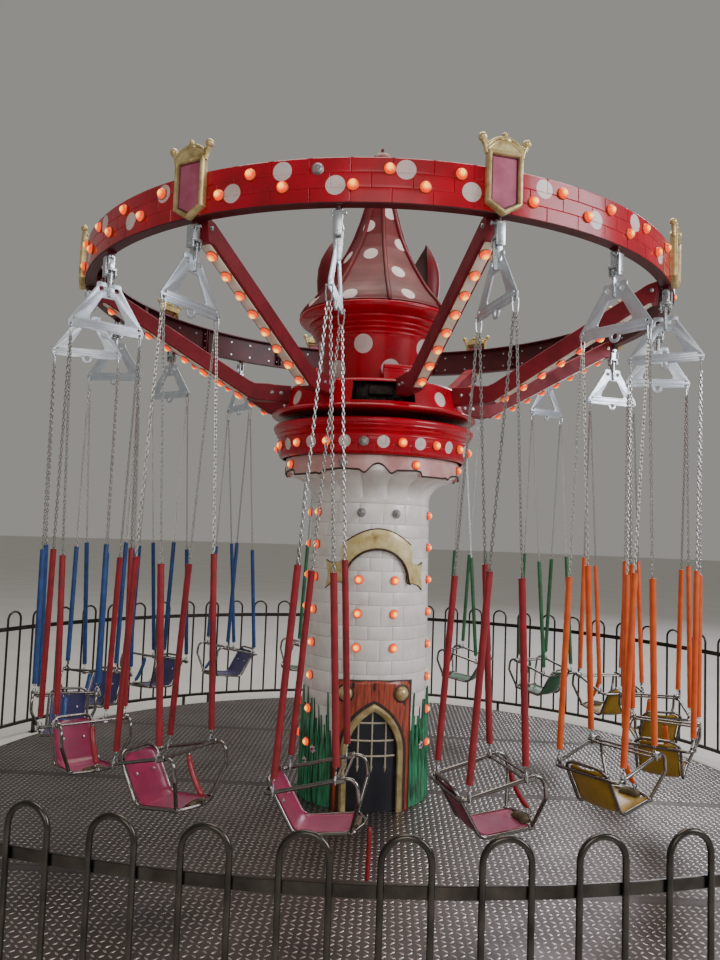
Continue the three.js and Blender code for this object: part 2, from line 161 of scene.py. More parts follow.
sky = bpy.data.worlds.new("studio_sky")
sky.use_nodes = True
sky.node_tree.nodes["Background"].inputs["Color"].default_value = linear("#d9d6d0")
sky.node_tree.nodes["Background"].inputs["Strength"].default_value = 0.42
bpy.context.scene.world = sky
soft_light("overhead", (0.5, 0.5, 8.0), (0, 0, 2), 5.0, 360, "#fff6ea")
soft_light("front", (-1.0, -9.5, 4.5), (0, 0, 1.5), 4.0, 170, "#fffaf4")
soft_light("front_right", (6.5, -5.0, 5.0), (0, 0, 1.8), 4.0, 480, "#f6f7ff")
soft_light("windows_behind", (6.5, 9.0, 8.0), (0, 0, 1.6), 4.5, 420, "#f2f6ff")

# Deck
# A round platform of steel tread plates on a rolled edge. The plates lie in rows with a plain
# strip at the joints, and their raised lozenges lie alternately at 45 degrees.


class Form:
    """The points and faces of one piece, gathered part by part. A paint is a material's number."""

    def __init__(self):
        self.points = []
        self.faces = []
        self.paints = []

    def take(self, points, faces, place=None, paint=0):
        first = len(self.points)
        self.points += [place @ Vector(point) for point in points] if place else points
        self.faces += [[first + index for index in face] for face in faces]
        self.paints += [paint] * len(faces)

    def join(self, other, place=None):
        """Takes in another form with its paints."""
        self.take(other.points, other.faces, place=place)
        self.paints[-len(other.faces):] = other.paints

    def turn(self, matrix):
        self.points = [matrix @ Vector(point) for point in self.points]


def grid(rows, around=False, along=False, capped=False):
    """Faces between rows of points: around joins a row's two ends, along the last and first rows."""
    wide = len(rows[0])
    points = [point for row in rows for point in row]
    faces = []
    for lower in range(len(rows) if along else len(rows) - 1):
        upper = (lower + 1) % len(rows)
        for left in range(wide if around else wide - 1):
            right = (left + 1) % wide
            faces.append([lower * wide + left, lower * wide + right, upper * wide + right,
                          upper * wide + left])
    if capped:
        faces.append([*range(wide)][::-1])
        faces.append([(len(rows) - 1) * wide + index for index in range(wide)])
    return points, faces


def at(angle, radius, height):
    """A point at an angle round the tower."""
    turn = math.radians(angle)
    return Vector((radius * math.sin(turn), -radius * math.cos(turn), height))


def outwards(angle):
    """Turns a form drawn with X pointing outwards and Y along the ride's travel to its angle."""
    return Matrix.Rotation(math.radians(angle - 90), 4, "Z")


def turned(profile, sides, capped=True):
    """A body of revolution from [radius, height] pairs, its two ends closed by flat caps."""
    return grid([[at(360 * side / sides, radius, height) for side in range(sides)]
                 for radius, height in profile], around=True, capped=capped)


def piece(name, form, body, materials, smooth=32, closed=True, place=None, replaced=None):
    """Makes a form into a piece on a body, with its slot and the CAD node that it replaces."""
    mesh = bpy.data.meshes.new(name)
    mesh.from_pydata(form.points, [], form.faces)
    mesh.polygons.foreach_set("material_index", form.paints)
    for material in materials:
        mesh.materials.append(material)
    if closed:
        shape = bmesh.new()
        shape.from_mesh(mesh)
        bmesh.ops.recalc_face_normals(shape, faces=shape.faces)
        shape.to_mesh(mesh)
        shape.free()
    mesh.shade_smooth()
    mesh.set_sharp_from_angle(angle=math.radians(smooth))
    return place_mesh(name, mesh, body, place, replaced)


def place_mesh(name, mesh, body, place=None, replaced=None):
    """Puts a mesh in the scene as a piece of its own, turned by a matrix where one is given."""
    thing = bpy.data.objects.new(name, mesh)
    if place:
        thing.matrix_world = place
    bpy.context.scene.collection.objects.link(thing)
    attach(thing, body)
    if replaced:
        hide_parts(replaced)
    return thing


DECK_RADIUS = 2.74
DECK_TOP = 0.12
DECK_TURN = math.radians(-9.5)
ROW_JOINTS = (-1.372, 0.0, 1.372)
STRIP_HALF = 0.028
COLUMN_JOINT = 0.15
LOZENGE_PITCH = 0.035
LOZENGE_HALF_LENGTH = 0.0155
LOZENGE_HALF_WIDTH = 0.0048
LOZENGE_HEIGHT = 0.0022
PLATE_PROUD = 0.004
PLATE_HALF_GAP = 0.0013
STRIP_CLEAR = 0.012
EDGE_CLEAR = 0.03
TOWER_FOOT_CLEAR = 0.42


def tread_steel():
    """Hot-rolled steel tread plate, dull and trodden: dark brownish grey in broad, soft patches, darkened
    as a painted reflection of a dark hall.
    """
    return clouded("tread_steel", {"Metallic": 0.85}, "#4f4845", "#6b625f", 420, detail=5.0,
                   roughness=0.6, high=0.68, dulls=(0.5, 0.36))


def lozenge_steel():
    """The lozenges' crowns, polished by shoes: bright grey that catches the light in points, painted
    lighter than the plate as a painted highlight.
    """
    return clouded("lozenge_steel", {"Metallic": 0.9}, "#a39b96", "#d0c9c4", 300, detail=4.0,
                   roughness=0.6, high=0.68, dulls=(0.36, 0.22))


def gap_shade_and_edge_black():
    """Nearly black and matt: painted shade in the gaps between the plates, also the colour of the deck's
    rolled edge.
    """
    return clouded("gap_shade_and_edge_black", {"Roughness": 0.9}, "#1d1a19", "#2b2726", 15)


def cut_disc(radius, joints, half_gap):
    """A flat disc cut along straight joints, each a pair of a point and a normal."""
    shape = bmesh.new()
    bmesh.ops.create_circle(shape, cap_ends=True, segments=128, radius=radius)
    for point, normal in joints:
        for side in (-1, 1):
            edge = Vector(point) + Vector(normal) * side * half_gap
            parts = shape.verts[:] + shape.edges[:] + shape.faces[:]
            bmesh.ops.bisect_plane(shape, geom=parts, plane_co=edge, plane_no=normal)
        gone = [face for face in shape.faces
                if abs((face.calc_center_median() - Vector(point)).dot(Vector(normal))) < half_gap]
        bmesh.ops.delete(shape, geom=gone, context="FACES")
    return shape


def lozenge(x, y, slant):
    """One raised lozenge: a low roof on a long hexagon."""
    cosine, sine = math.cos(slant), math.sin(slant)
    shoulder = 0.4 * LOZENGE_HALF_LENGTH
    flat = [(-LOZENGE_HALF_LENGTH, 0, 0), (-shoulder, -LOZENGE_HALF_WIDTH, 0),
            (shoulder, -LOZENGE_HALF_WIDTH, 0), (LOZENGE_HALF_LENGTH, 0, 0),
            (shoulder, LOZENGE_HALF_WIDTH, 0), (-shoulder, LOZENGE_HALF_WIDTH, 0),
            (-shoulder, 0, LOZENGE_HEIGHT), (shoulder, 0, LOZENGE_HEIGHT)]
    points = [(x + u * cosine - v * sine, y + u * sine + v * cosine, DECK_TOP + w) for u, v, w in flat]
    faces = [[0, 1, 6], [1, 2, 7, 6], [2, 3, 7], [3, 4, 7], [4, 5, 6, 7], [5, 0, 6]]
    return points, faces


def tread_pattern():
    form = Form()
    steps = int(DECK_RADIUS / LOZENGE_PITCH)
    for column in range(-steps, steps):
        for row in range(-steps, steps):
            x = (column + 0.5) * LOZENGE_PITCH
            y = (row + 0.5) * LOZENGE_PITCH
            on_strip = any(abs(y - joint) < STRIP_HALF + STRIP_CLEAR for joint in ROW_JOINTS)
            if not TOWER_FOOT_CLEAR < math.hypot(x, y) < DECK_RADIUS - EDGE_CLEAR or on_strip:
                continue
            slant = math.radians(45 if (column + row) % 2 else -45)
            form.take(*lozenge(x, y, slant))
    form.turn(Matrix.Rotation(DECK_TURN, 3, "Z"))
    return form


def deck_plates():
    """The plates stand a little proud of a frame painted nearly black as shade, so that the joints show as
    fine gaps.
    """
    joints = [((0, joint + side * STRIP_HALF, 0), (0, 1, 0)) for joint in ROW_JOINTS for side in (-1, 1)]
    joints.append(((COLUMN_JOINT, 0, 0), (1, 0, 0)))
    shape = cut_disc(DECK_RADIUS - 0.006, joints, PLATE_HALF_GAP)
    raised = bmesh.ops.extrude_face_region(shape, geom=shape.faces[:])
    bmesh.ops.translate(shape, verts=[v for v in raised["geom"] if isinstance(v, bmesh.types.BMVert)],
                        vec=(0, 0, PLATE_PROUD))
    bmesh.ops.triangulate(shape, faces=shape.faces[:])
    turn = Matrix.Translation((0, 0, DECK_TOP - PLATE_PROUD)) @ Matrix.Rotation(DECK_TURN, 4, "Z")
    points = [turn @ v.co for v in shape.verts]
    faces = [[v.index for v in face.verts] for face in shape.faces]
    shape.free()
    return points, faces


base = Form()
base.take(*deck_plates())
edge_profile = [(0.2, DECK_TOP - 0.0045), (DECK_RADIUS - 0.012, DECK_TOP - 0.0045),
                (DECK_RADIUS - 0.002, DECK_TOP - 0.008), (DECK_RADIUS, DECK_TOP - 0.014),
                (DECK_RADIUS, 0.016), (DECK_RADIUS - 0.012, 0.004), (DECK_RADIUS - 0.05, 0.0), (0.2, 0.0)]
# The frame under the plates and the deck's rolled edge take the nearly black paint: painted shade in the
# gaps.
base.take(*turned(edge_profile, 128), paint=1)
piece("deck_base", base, "root", [tread_steel(), gap_shade_and_edge_black()], replaced="deck_platform")
piece("deck_tread_pattern", tread_pattern(), "root", [lozenge_steel()], smooth=60,
      closed=False)

# Fence
# Panels of dull stainless tube bent into hoops, welded in front of a flat rail and into a foot
# rail that stands on small square feet. The panels' rails butt together.
FENCE_RADIUS = 3.155
HOOPS_PER_PANEL = 13
PANELS = 6
HOOP_PITCH = 360 / (HOOPS_PER_PANEL * PANELS)
PANEL_START = -8.28 + 7 * HOOP_PITCH
WAY_IN_HOOPS = 4
BAR_RADIUS = 0.009
HOOP_TOP = 1.037
RAIL_LOW, RAIL_HIGH = 0.874, 0.908
FOOT_LOW, FOOT_HIGH = 0.096, 0.120
RAIL_THICKNESS, FOOT_THICKNESS = 0.008, 0.026
RAIL_GAP = 0.003


def tube(path, radius, sides=10, closed=False, flat=1.0):
    """A tube along a path of points; flat squashes its section across the first normal."""
    path = [Vector(point) for point in path]
    count = len(path)
    normal = None
    rows = []
    for index, point in enumerate(path):
        before = path[(index - 1) % count] if closed or index else point
        after = path[(index + 1) % count] if closed or index < count - 1 else point
        heading = (after - before).normalized()
        if normal is None:
            helper = Vector((0, 0, 1)) if abs(heading.z) < 0.9 else Vector((1, 0, 0))
            normal = heading.cross(helper)
        normal = (normal - heading * normal.dot(heading)).normalized()
        side = heading.cross(normal)
        rows.append([point + normal * radius * flat * math.cos(2 * math.pi * k / sides)
                     + side * radius * math.sin(2 * math.pi * k / sides) for k in range(sides)])
    return grid(rows, around=True, along=closed, capped=not closed)


def arc(centre, radius, start, end, steps):
    """Points of an arc, [across, up], with angles from the across axis."""
    turns = [math.radians(start + (end - start) * step / steps) for step in range(steps + 1)]
    return [(centre[0] + radius * math.cos(t), centre[1] + radius * math.sin(t)) for t in turns]


def block(size, edge, centre=(0, 0, 0)):
    """A block with rounded edges, as its points and faces."""
    shape = bmesh.new()
    bmesh.ops.create_cube(shape, size=1)
    bmesh.ops.scale(shape, vec=size, verts=shape.verts)
    bmesh.ops.bevel(shape, geom=shape.edges[:], offset=edge, segments=2, affect="EDGES", profile=0.5)
    bmesh.ops.translate(shape, vec=centre, verts=shape.verts)
    shape.verts.index_update()
    made = [v.co.copy() for v in shape.verts], [[v.index for v in face.verts] for face in shape.faces]
    shape.free()
    return made


def fence_stainless():
    """Dull stainless tube: brownish grey, darkened as a painted reflection of a dark hall, and bright where
    light strikes it.
    """
    return clouded("fence_stainless", {"Metallic": 1.0}, "#3c3835", "#54504b", 70, detail=4.0,
                   dulls=(0.34, 0.24))


def rail(form, hoops, outer_flat, thickness, low, high):
    """A rail bent between every two hoops, drawn with its first end at angle zero."""
    outer = outer_flat / math.cos(math.radians(HOOP_PITCH / 2))
    edge = 0.0015
    section = [(outer - thickness, low + edge), (outer - thickness, high - edge),
               (outer - thickness + edge, high), (outer - edge, high), (outer, high - edge),
               (outer, low + edge), (outer - edge, low), (outer - thickness + edge, low)]
    rows = []
    for step in range(hoops + 1):
        turn = step * HOOP_PITCH + (RAIL_GAP if step == 0 else -RAIL_GAP if step == hoops else 0)
        rows.append([(radius * math.cos(math.radians(turn)), radius * math.sin(math.radians(turn)), height)
                     for radius, height in section])
    form.take(*grid(rows, around=True, capped=True))


def hoop_path():
    """Up from the foot rail, over in a half circle and down again, in the plane of the panel."""
    spread = FENCE_RADIUS * math.radians(HOOP_PITCH / 4)
    springing = HOOP_TOP - spread - BAR_RADIUS
    crown = arc((0, springing), spread, 0, 180, 14)
    flat = [(spread, FOOT_HIGH - 0.002), (spread, 0.5), *crown, (-spread, 0.5),
            (-spread, FOOT_HIGH - 0.002)]
    return [(FENCE_RADIUS, across, up) for across, up in flat]


def fence_panel(index):
    hoops = HOOPS_PER_PANEL - (WAY_IN_HOOPS if index == 0 else 0)
    form = Form()
    rail(form, hoops, FENCE_RADIUS - BAR_RADIUS + 0.002, RAIL_THICKNESS, RAIL_LOW, RAIL_HIGH)
    rail(form, hoops, FENCE_RADIUS + FOOT_THICKNESS / 2, FOOT_THICKNESS, FOOT_LOW, FOOT_HIGH)
    for step in range(hoops):
        turn = Matrix.Rotation(math.radians((step + 0.5) * HOOP_PITCH), 4, "Z")
        form.take(*tube(hoop_path(), BAR_RADIUS, 12), place=turn)
        if step in (0, hoops // 2, hoops - 1):
            form.take(*block((0.024, 0.024, FOOT_LOW), 0.002, (FENCE_RADIUS, 0, FOOT_LOW / 2 + 0.001)),
                      place=turn)
            form.take(*block((0.056, 0.056, 0.008), 0.002, (FENCE_RADIUS, 0, 0.004)), place=turn)
    start = PANEL_START + index * HOOPS_PER_PANEL * HOOP_PITCH
    form.turn(outwards(start))
    return form


FENCE_STEEL = fence_stainless()
for number in range(PANELS):
    piece(f"fence_panel_of_hoops_{number + 1}", fence_panel(number), "root", [FENCE_STEEL],
          replaced=f"fence_panel_{number + 1}")

# Tower shaft
# Moulded white panels on a tapering shaft, shaped as courses of stone, tall and short by turns, with
# rounded edges and fine grey joints. Each course is set half a stone over from the one below.
SHAFT_FOOT_RADIUS, SHAFT_TOP_RADIUS = 0.415, 0.385
SHAFT_TOP = 1.990
STONES_ROUND = 16
TALL_COURSE, SHORT_COURSE = 0.1265, 0.082
TOP_COURSE_TOP = 1.962
JOINT_DEEP, JOINT_WIDE = 0.004, 0.005
FIRST_STONE = 4


def shaft_radius(height):
    share = (height - DECK_TOP) / (SHAFT_TOP - DECK_TOP)
    return SHAFT_FOOT_RADIUS + (SHAFT_TOP_RADIUS - SHAFT_FOOT_RADIUS) * share


def tower_gelcoat():
    """Ageing white gelcoat on glass fibre: warm grey-white, a little glossy, with faint grime."""
    made, tree, shader = finish_of("tower_gelcoat", {"Roughness": 0.32, "Coat Weight": 0.3,
                                                     "Coat Roughness": 0.15})
    grime = noise(tree, 160, detail=6.0, roughness=0.6)
    tree.links.new(ramp(tree, grime, 0.3, 0.62, "#dcd6d0", "#f4f0ec"), shader.inputs["Base Color"])
    bumps(tree, shader, noise(tree, 45), 0.6, 0.25)
    return made


def joint_grey():
    """Grey filler in the joints of the moulded stones, dull and a little dirty."""
    return clouded("joint_grey", {"Roughness": 0.7}, "#6f6a67", "#8e8985", 40)


def pillow(surface, low_u, high_u, low_v, high_v, edge_u, edge_v, depth, steps):
    """A patch of a surface whose rim is sunk by a depth; surface maps u, v and a lift to a point."""
    across = [low_u, low_u + edge_u * 0.35, low_u + edge_u]
    across += [low_u + edge_u + (high_u - low_u - 2 * edge_u) * k / steps for k in range(1, steps)]
    across += [high_u - edge_u, high_u - edge_u * 0.35, high_u]
    upwards = [low_v, low_v + edge_v * 0.35, low_v + edge_v, high_v - edge_v, high_v - edge_v * 0.35,
               high_v]

    def lift(index, count):
        return (-depth, -depth * 0.3, 0.0)[min(index, count - 1 - index, 2)]

    rows = []
    for j, v in enumerate(upwards):
        rows.append([surface(u, v, min(lift(i, len(across)), lift(j, len(upwards))))
                     for i, u in enumerate(across)])
    return grid(rows)


def on_shaft(angle, height, lift):
    return at(angle, shaft_radius(height) + lift, height)


def shaft_stones():
    form = Form()
    core = 0.85 * JOINT_DEEP
    foot, top = DECK_TOP + 0.0003, SHAFT_TOP
    form.take(*turned([(shaft_radius(foot) - core, foot), (shaft_radius(top) - core, top)], 96), paint=1)
    course_top, course = TOP_COURSE_TOP, 0
    form.take(*turned([(0.37, course_top + 0.001), (0.3835, course_top + 0.001),
                       (0.3855, course_top + 0.004), (0.385, SHAFT_TOP), (0.37, SHAFT_TOP)], 96))
    while course_top > foot:
        tall = TALL_COURSE if course % 2 == 0 else SHORT_COURSE
        low = max(course_top - tall, foot)
        pitch = 360 / STONES_ROUND
        edge = math.degrees(JOINT_WIDE / SHAFT_FOOT_RADIUS)
        for stone in range(STONES_ROUND):
            start = (stone + 0.5 * (course % 2)) * pitch + FIRST_STONE
            form.take(*pillow(on_shaft, start, start + pitch, low, course_top, edge, JOINT_WIDE,
                              JOINT_DEEP, 5))
        course_top, course = low, course + 1
    return form


TOWER_GELCOAT = tower_gelcoat()
piece("shaft_of_stones", shaft_stones(), "root", [TOWER_GELCOAT, joint_grey()],
      smooth=50, closed=False, replaced="tower_shaft")

# Lamp columns
# Pairs of round faceted cabochon lamps up the shaft, amber with a bright middle, in plastic rings.
LAMP_HALF_SPREAD = 16.3
LAMP_TOP_HEIGHT = 1.902
LAMP_STEP = 0.205
LAMP_ROWS = 8
COLUMN_ANGLES = (0, 82, 180, -82)
FRONT_ROWS = (0, 2, 3, 4)
SHAFT_LAMP_RADIUS = 0.029


def lamp_lit(name, dark, light, strength):
    """A lit amber lens in one of its zones, a little uneven from facet to facet."""
    made, tree, shader = finish_of(name, {"Roughness": 0.15, "Coat Weight": 0.2,
                                          "Emission Strength": strength})
    glow = noise(tree, 8)
    tree.links.new(ramp(tree, glow, 0.35, 0.65, dark, light), shader.inputs["Emission Color"])
    tree.links.new(ramp(tree, glow, 0.3, 0.7, "#6a1c04", "#8a4410"), shader.inputs["Base Color"])
    return made


def lamp_unlit():
    """A dead lamp: the lens has gone grey and milky, with a dark socket behind."""
    return clouded("lamp_unlit", {"Roughness": 0.25, "Coat Weight": 0.4}, "#6d6a6a", "#a9a5a3", 22,
                   low=0.35, high=0.65)


def lamp_ring():
    """The dark amber plastic collar of a lamp, glossy, with moulding flow marks."""
    return clouded("lamp_ring", {"Roughness": 0.3}, "#8e4a1c", "#b8662a", 12)


def lamp(form, place, radius, dead=False):
    """A faceted dome on a collar, drawn up from the surface; a lit one is brightest in its middle."""
    collar = [(radius, -0.004), (radius, 0.004), (radius * 0.93, 0.0065)]
    form.take(*lens(collar, capped=False), place=place, paint=3 if dead else 4)
    rings = [(radius * 0.93, 0.0065), (radius * 0.86, 0.0135), (radius * 0.66, 0.021),
             (radius * 0.42, 0.0255), (radius * 0.38, 0.0275), (radius * 0.2, 0.029)]
    for zone, (first, last) in enumerate(((0, 3), (2, 4), (3, 6))):
        paint = 3 if dead else zone
        form.take(*lens(rings[first:last], capped=zone == 2, shift=first), place=place, paint=paint)


def lens(profile, capped=True, sides=14, shift=0):
    """A turned body whose rings are set over by half a side, so that it shows facets."""
    rows = []
    for row, (radius, height) in enumerate(profile):
        turns = [2 * math.pi * (side + 0.5 * ((row + shift) % 2)) / sides for side in range(sides)]
        rows.append([(radius * math.cos(turn), radius * math.sin(turn), height) for turn in turns])
    points, faces = grid(rows, around=True)
    if capped:
        faces.append([(len(rows) - 1) * sides + k for k in range(sides)])
    return points, faces


def facing_out(angle, radius, height):
    """A place on a wall round the axis whose Z points outwards."""
    return outwards(angle) @ Matrix.Translation((radius, 0, height)) @ Matrix.Rotation(math.pi / 2, 4, "Y")


def lamp_piece(name, form, body):
    return piece(name, form, body, LAMP_MATERIALS, smooth=12, closed=False)


def lamp_columns():
    form = Form()
    for centre in COLUMN_ANGLES:
        for row in range(LAMP_ROWS):
            if centre == 0 and row not in FRONT_ROWS:
                continue
            height = LAMP_TOP_HEIGHT - row * LAMP_STEP
            for side in (-1, 1):
                angle = centre + side * LAMP_HALF_SPREAD
                dead = centre == 0 and row == 0
                lamp(form, facing_out(angle, shaft_radius(height), height), SHAFT_LAMP_RADIUS, dead)
    return form


LAMP_MATERIALS = [lamp_lit("lamp_edge", "#ee2a04", "#ff4c10", 1.5),
                  lamp_lit("lamp_middle", "#ff7416", "#ff922a", 2.0),
                  lamp_lit("lamp_core", "#ffab2e", "#ffc858", 2.6), lamp_unlit(), lamp_ring()]
lamp_piece("shaft_lamps", lamp_columns(), "root")

# Capital
# The shaft's white head flares out in broad rounded flutes, under a pinkish band with a dark
# outlined, scalloped lower edge and a ring of lamps.
CAPITAL_FLARE = ((0.385, 1.9903), (0.387, 2.005), (0.391, 2.020), (0.398, 2.038), (0.409, 2.056),
                 (0.424, 2.074), (0.445, 2.092), (0.473, 2.108), (0.506, 2.122), (0.538, 2.134),
                 (0.561, 2.146), (0.571, 2.160), (0.572, 2.196))
LOBES = 16
LOBE_STEPS = 16
LOBE_TURN = -4.5
VALLEY_DEPTH = 0.040
VALLEY_GROWTH = 0.055
VALLEY_FOOT, VALLEY_HEAD = 1.9903, 2.108
BAND_RADIUS = 0.577
BAND_TOP = 2.244
BAND_EDGE = ((-49.5, 2.124), (-44.5, 2.130), (-41.9, 2.121), (-38.5, 2.143), (-28, 2.154), (-16, 2.150),
             (-12.6, 2.129), (-10.2, 2.152), (-7.5, 2.180), (-4.5, 2.190), (-1.5, 2.180), (1.2, 2.152),
             (3.6, 2.129), (7, 2.150), (20, 2.156), (23, 2.150), (24, 2.124), (40.5, 2.124))
BAND_LAMPS = 8
BAND_LAMP_START = 19.3
BAND_LAMP_HEIGHT = 2.195
BAND_LAMP_RADIUS = 0.029
BAND_DEAD_LAMP = 7


def along_line(line, place):
    """The height of a line of [place, height] pairs, between its corners."""
    for (before, low), (after, high) in zip(line, line[1:]):
        if before <= place <= after:
            return low + (high - low) * (place - before) / (after - before)
    return line[-1][1] if place > line[-1][0] else line[0][1]


def band_pink():
    """Gelcoat in pale pinkish white, glossy, a bit blotchy: the pink is painted light, standing in for red
    light from the cornice.
    """
    return clouded("band_pink", {"Roughness": 0.3, "Coat Weight": 0.4}, "#c08683", "#dbaca8", 120,
                   detail=5.0, high=0.65)


def outline_dark():
    """The artwork's painted outline: almost black brown, half gloss, its edge a little uneven."""
    return clouded("outline_dark", {"Roughness": 0.45}, "#2a1b18", "#43302b", 18)


def band_foot(angle):
    """Height of the band's lower edge, alike in each quarter turn: low, a step up, and an arch."""
    return along_line(BAND_EDGE, (angle + 49.5) % 90 - 49.5)


def capital_flare():
    """Rounded lobes with sharp valleys between them, which deepen as the flare opens out."""
    form = Form()
    sides = LOBES * LOBE_STEPS
    rows = []
    for radius, height in CAPITAL_FLARE:
        deep = min(VALLEY_DEPTH, VALLEY_GROWTH * (height - VALLEY_FOOT) / (VALLEY_HEAD - VALLEY_FOOT))
        row = []
        for side in range(sides):
            from_middle = abs((2 * side / LOBE_STEPS + 1) % 2 - 1)
            sunk = deep * (1 - math.sqrt(1 - from_middle ** 2))
            row.append(at(LOBE_TURN + 360 * side / sides, radius - sunk, height))
        rows.append(row)
    form.take(*grid(rows, around=True))
    return form


def capital_band():
    """Rows from the hidden underside over the dark lower bead, 11 mm high, to the band's top."""
    form = Form()
    section = [(-0.050, 0.004), (-0.010, 0.0), (-0.003, -0.001), (0.0, 0.003), (0.0, 0.009),
               (-0.004, 0.011)]
    rows = [[at(turn, BAND_RADIUS + out, band_foot(turn) + up) for turn in range(360)]
            for out, up in section]
    top = [[at(turn, radius, BAND_TOP) for turn in range(360)] for radius in (BAND_RADIUS - 0.004, 0.3)]
    form.take(*grid(rows[:2], around=True))
    form.take(*grid(rows[1:], around=True), paint=1)
    form.take(*grid([rows[-1], *top], around=True))
    return form


def band_lamps():
    form = Form()
    for number in range(BAND_LAMPS):
        angle = BAND_LAMP_START + 360 * number / BAND_LAMPS
        place = facing_out(angle, BAND_RADIUS - 0.004, BAND_LAMP_HEIGHT)
        lamp(form, place, BAND_LAMP_RADIUS, dead=number == BAND_DEAD_LAMP)
    return form


piece("capital_flutes", capital_flare(), "root", [TOWER_GELCOAT], smooth=60, closed=False,
      replaced="tower_capital")
OUTLINE_DARK = outline_dark()
piece("capital_band", capital_band(), "root", [band_pink(), OUTLINE_DARK], smooth=40,
      closed=False)
lamp_piece("band_lamps", band_lamps(), "root")

# Cornice
# A red moulded ring with two courses of bricks, a row of white dots that lie over the bricks, and
# lamps between them; above the bricks it steps out in rounded ridges.
CORNICE_OUTLINE = ((0.596, 2.2443), (0.608, 2.247), (0.617, 2.256), (0.622, 2.270), (0.627, 2.300),
                   (0.631, 2.330), (0.632, 2.350), (0.634, 2.358), (0.631, 2.365), (0.624, 2.372),
                   (0.630, 2.380), (0.640, 2.388), (0.641, 2.394), (0.638, 2.399), (0.648, 2.408),
                   (0.655, 2.416), (0.654, 2.422), (0.661, 2.430), (0.664, 2.440), (0.663, 2.450),
                   (0.655, 2.458), (0.640, 2.462))
CORNICE_LAMPS = 17
CORNICE_LAMP_START = -13.0
CORNICE_LAMP_RADIUS = 0.030
CORNICE_DEAD_LAMP = 0
CORNICE_ROW = 2.317
CORNICE_DOT_RADIUS = 0.0375
CORNICE_BRICKS = 36
CORNICE_FIRST_SEAM = 3.4
CORNICE_BED = 2.305
CORNICE_SEAM_RADIUS = 0.63
CORNICE_BRICKS_FOOT, CORNICE_BRICKS_HEAD = 2.258, 2.352
DOT_PAINT = "dots"


def red_gelcoat(name, dark, light, coat, dull):
    """Red gelcoat with painted white dots; dust dulls it a little in broad patches."""
    made, tree, shader = finish_of(name, {"Coat Weight": coat, "Coat Roughness": 0.12,
                                          "Specular IOR Level": 0.3})
    inside = add(tree, "Attribute", {}, attribute_name=DOT_PAINT).outputs["Fac"]
    mask = between(tree, inside, -0.0006, 0.0006, 0.0, 1.0)
    cloud = noise(tree, 180, detail=5.0)
    mixed = add(tree, "Mix", {"Factor": mask}, data_type="RGBA")
    tree.links.new(ramp(tree, cloud, 0.3, 0.7, dark, light), mixed.inputs[6])
    tree.links.new(ramp(tree, cloud, 0.3, 0.7, "#cdb4b1", "#e2d4d0"), mixed.inputs[7])
    tree.links.new(mixed.outputs[2], shader.inputs["Base Color"])
    tree.links.new(between(tree, cloud, 0.3, 0.7, dull, dull - 0.12), shader.inputs["Roughness"])
    return made


def red_shadow():
    """Dark oxblood gelcoat as painted shade on undersides, back faces and in brick joints, half dull with
    dust; the flowers' centres take it as their own dark red.
    """
    return clouded("red_shadow", {"Roughness": 0.45}, "#3d070d", "#570c14", 90, detail=4.0)


def paint_dots(mesh, dots):
    """Stores how far inside the nearest dot each point lies; a dot is a place and a radius."""
    store = mesh.attributes.new(DOT_PAINT, "FLOAT", "POINT")
    values = [max([radius - (v.co - centre).length for centre, radius in dots], default=-1.0)
              for v in mesh.vertices]
    store.data.foreach_set("value", values)


def dotted_piece(name, form, body, materials, dots, smooth=40, replaced=None):
    """A piece in the glossy red slot with white dots painted on it."""
    made = piece(name, form, body, materials, smooth=smooth, closed=False, replaced=replaced)
    paint_dots(made.data, dots)


def outline_at(outline, height):
    """The radius of a turned outline at a height, between its corners."""
    return along_line([(up, radius) for radius, up in outline], height)


def dented(profile, angles, dent):
    """A turned skin whose points are drawn in by dent(angle, height)."""
    return grid([[at(angle, radius - dent(angle, height), height) for angle in angles]
                 for radius, height in profile], around=True)


def seam_angles(bricks, start, radius):
    """Angles for a skin of bricks: three at each half-brick seam and five between two seams."""
    half_pitch = 180 / bricks
    seam = math.degrees(0.003 / radius)
    angles = []
    for number in range(2 * bricks):
        middle = start + number * half_pitch
        angles += [middle - seam, middle, middle + seam]
        angles += [middle + seam + (half_pitch - 2 * seam) * k / 6 for k in range(1, 6)]
    return angles


def from_seam(angle, start, pitch, radius):
    """The distance round the wall from the nearest upright brick joint."""
    return ((angle - start + pitch / 2) % pitch - pitch / 2) * math.radians(radius)


def groove(distance, half_width, deep):
    """The depth of a rounded groove at a distance from its middle."""
    return deep * max(0.0, 1 - (distance / half_width) ** 2)


def cornice_rows():
    """The outline's own corners and closer rows over the dots and the bed joint."""
    heights = {height for _, height in CORNICE_OUTLINE}
    heights |= {2.265 + 0.005 * step for step in range(19)} | {CORNICE_BED - 0.004, CORNICE_BED + 0.004}
    return [(outline_at(CORNICE_OUTLINE, height), height) for height in sorted(heights)]


def cornice_dent(angle, height):
    pitch = 360 / CORNICE_BRICKS
    course = 0 if height < CORNICE_BED else 1
    aside = from_seam(angle, CORNICE_FIRST_SEAM + course * pitch / 2, pitch, CORNICE_SEAM_RADIUS)
    head = groove(aside, 0.0036, 0.003) if CORNICE_BRICKS_FOOT < height < CORNICE_BRICKS_HEAD else 0.0
    return max(head, groove(height - CORNICE_BED, 0.0042, 0.003))


def cornice_lamps():
    form = Form()
    for number in range(CORNICE_LAMPS):
        angle = CORNICE_LAMP_START + 360 * number / CORNICE_LAMPS
        place = facing_out(angle, outline_at(CORNICE_OUTLINE, CORNICE_ROW) - 0.001, CORNICE_ROW)
        lamp(form, place, CORNICE_LAMP_RADIUS, dead=number == CORNICE_DEAD_LAMP)
    return form


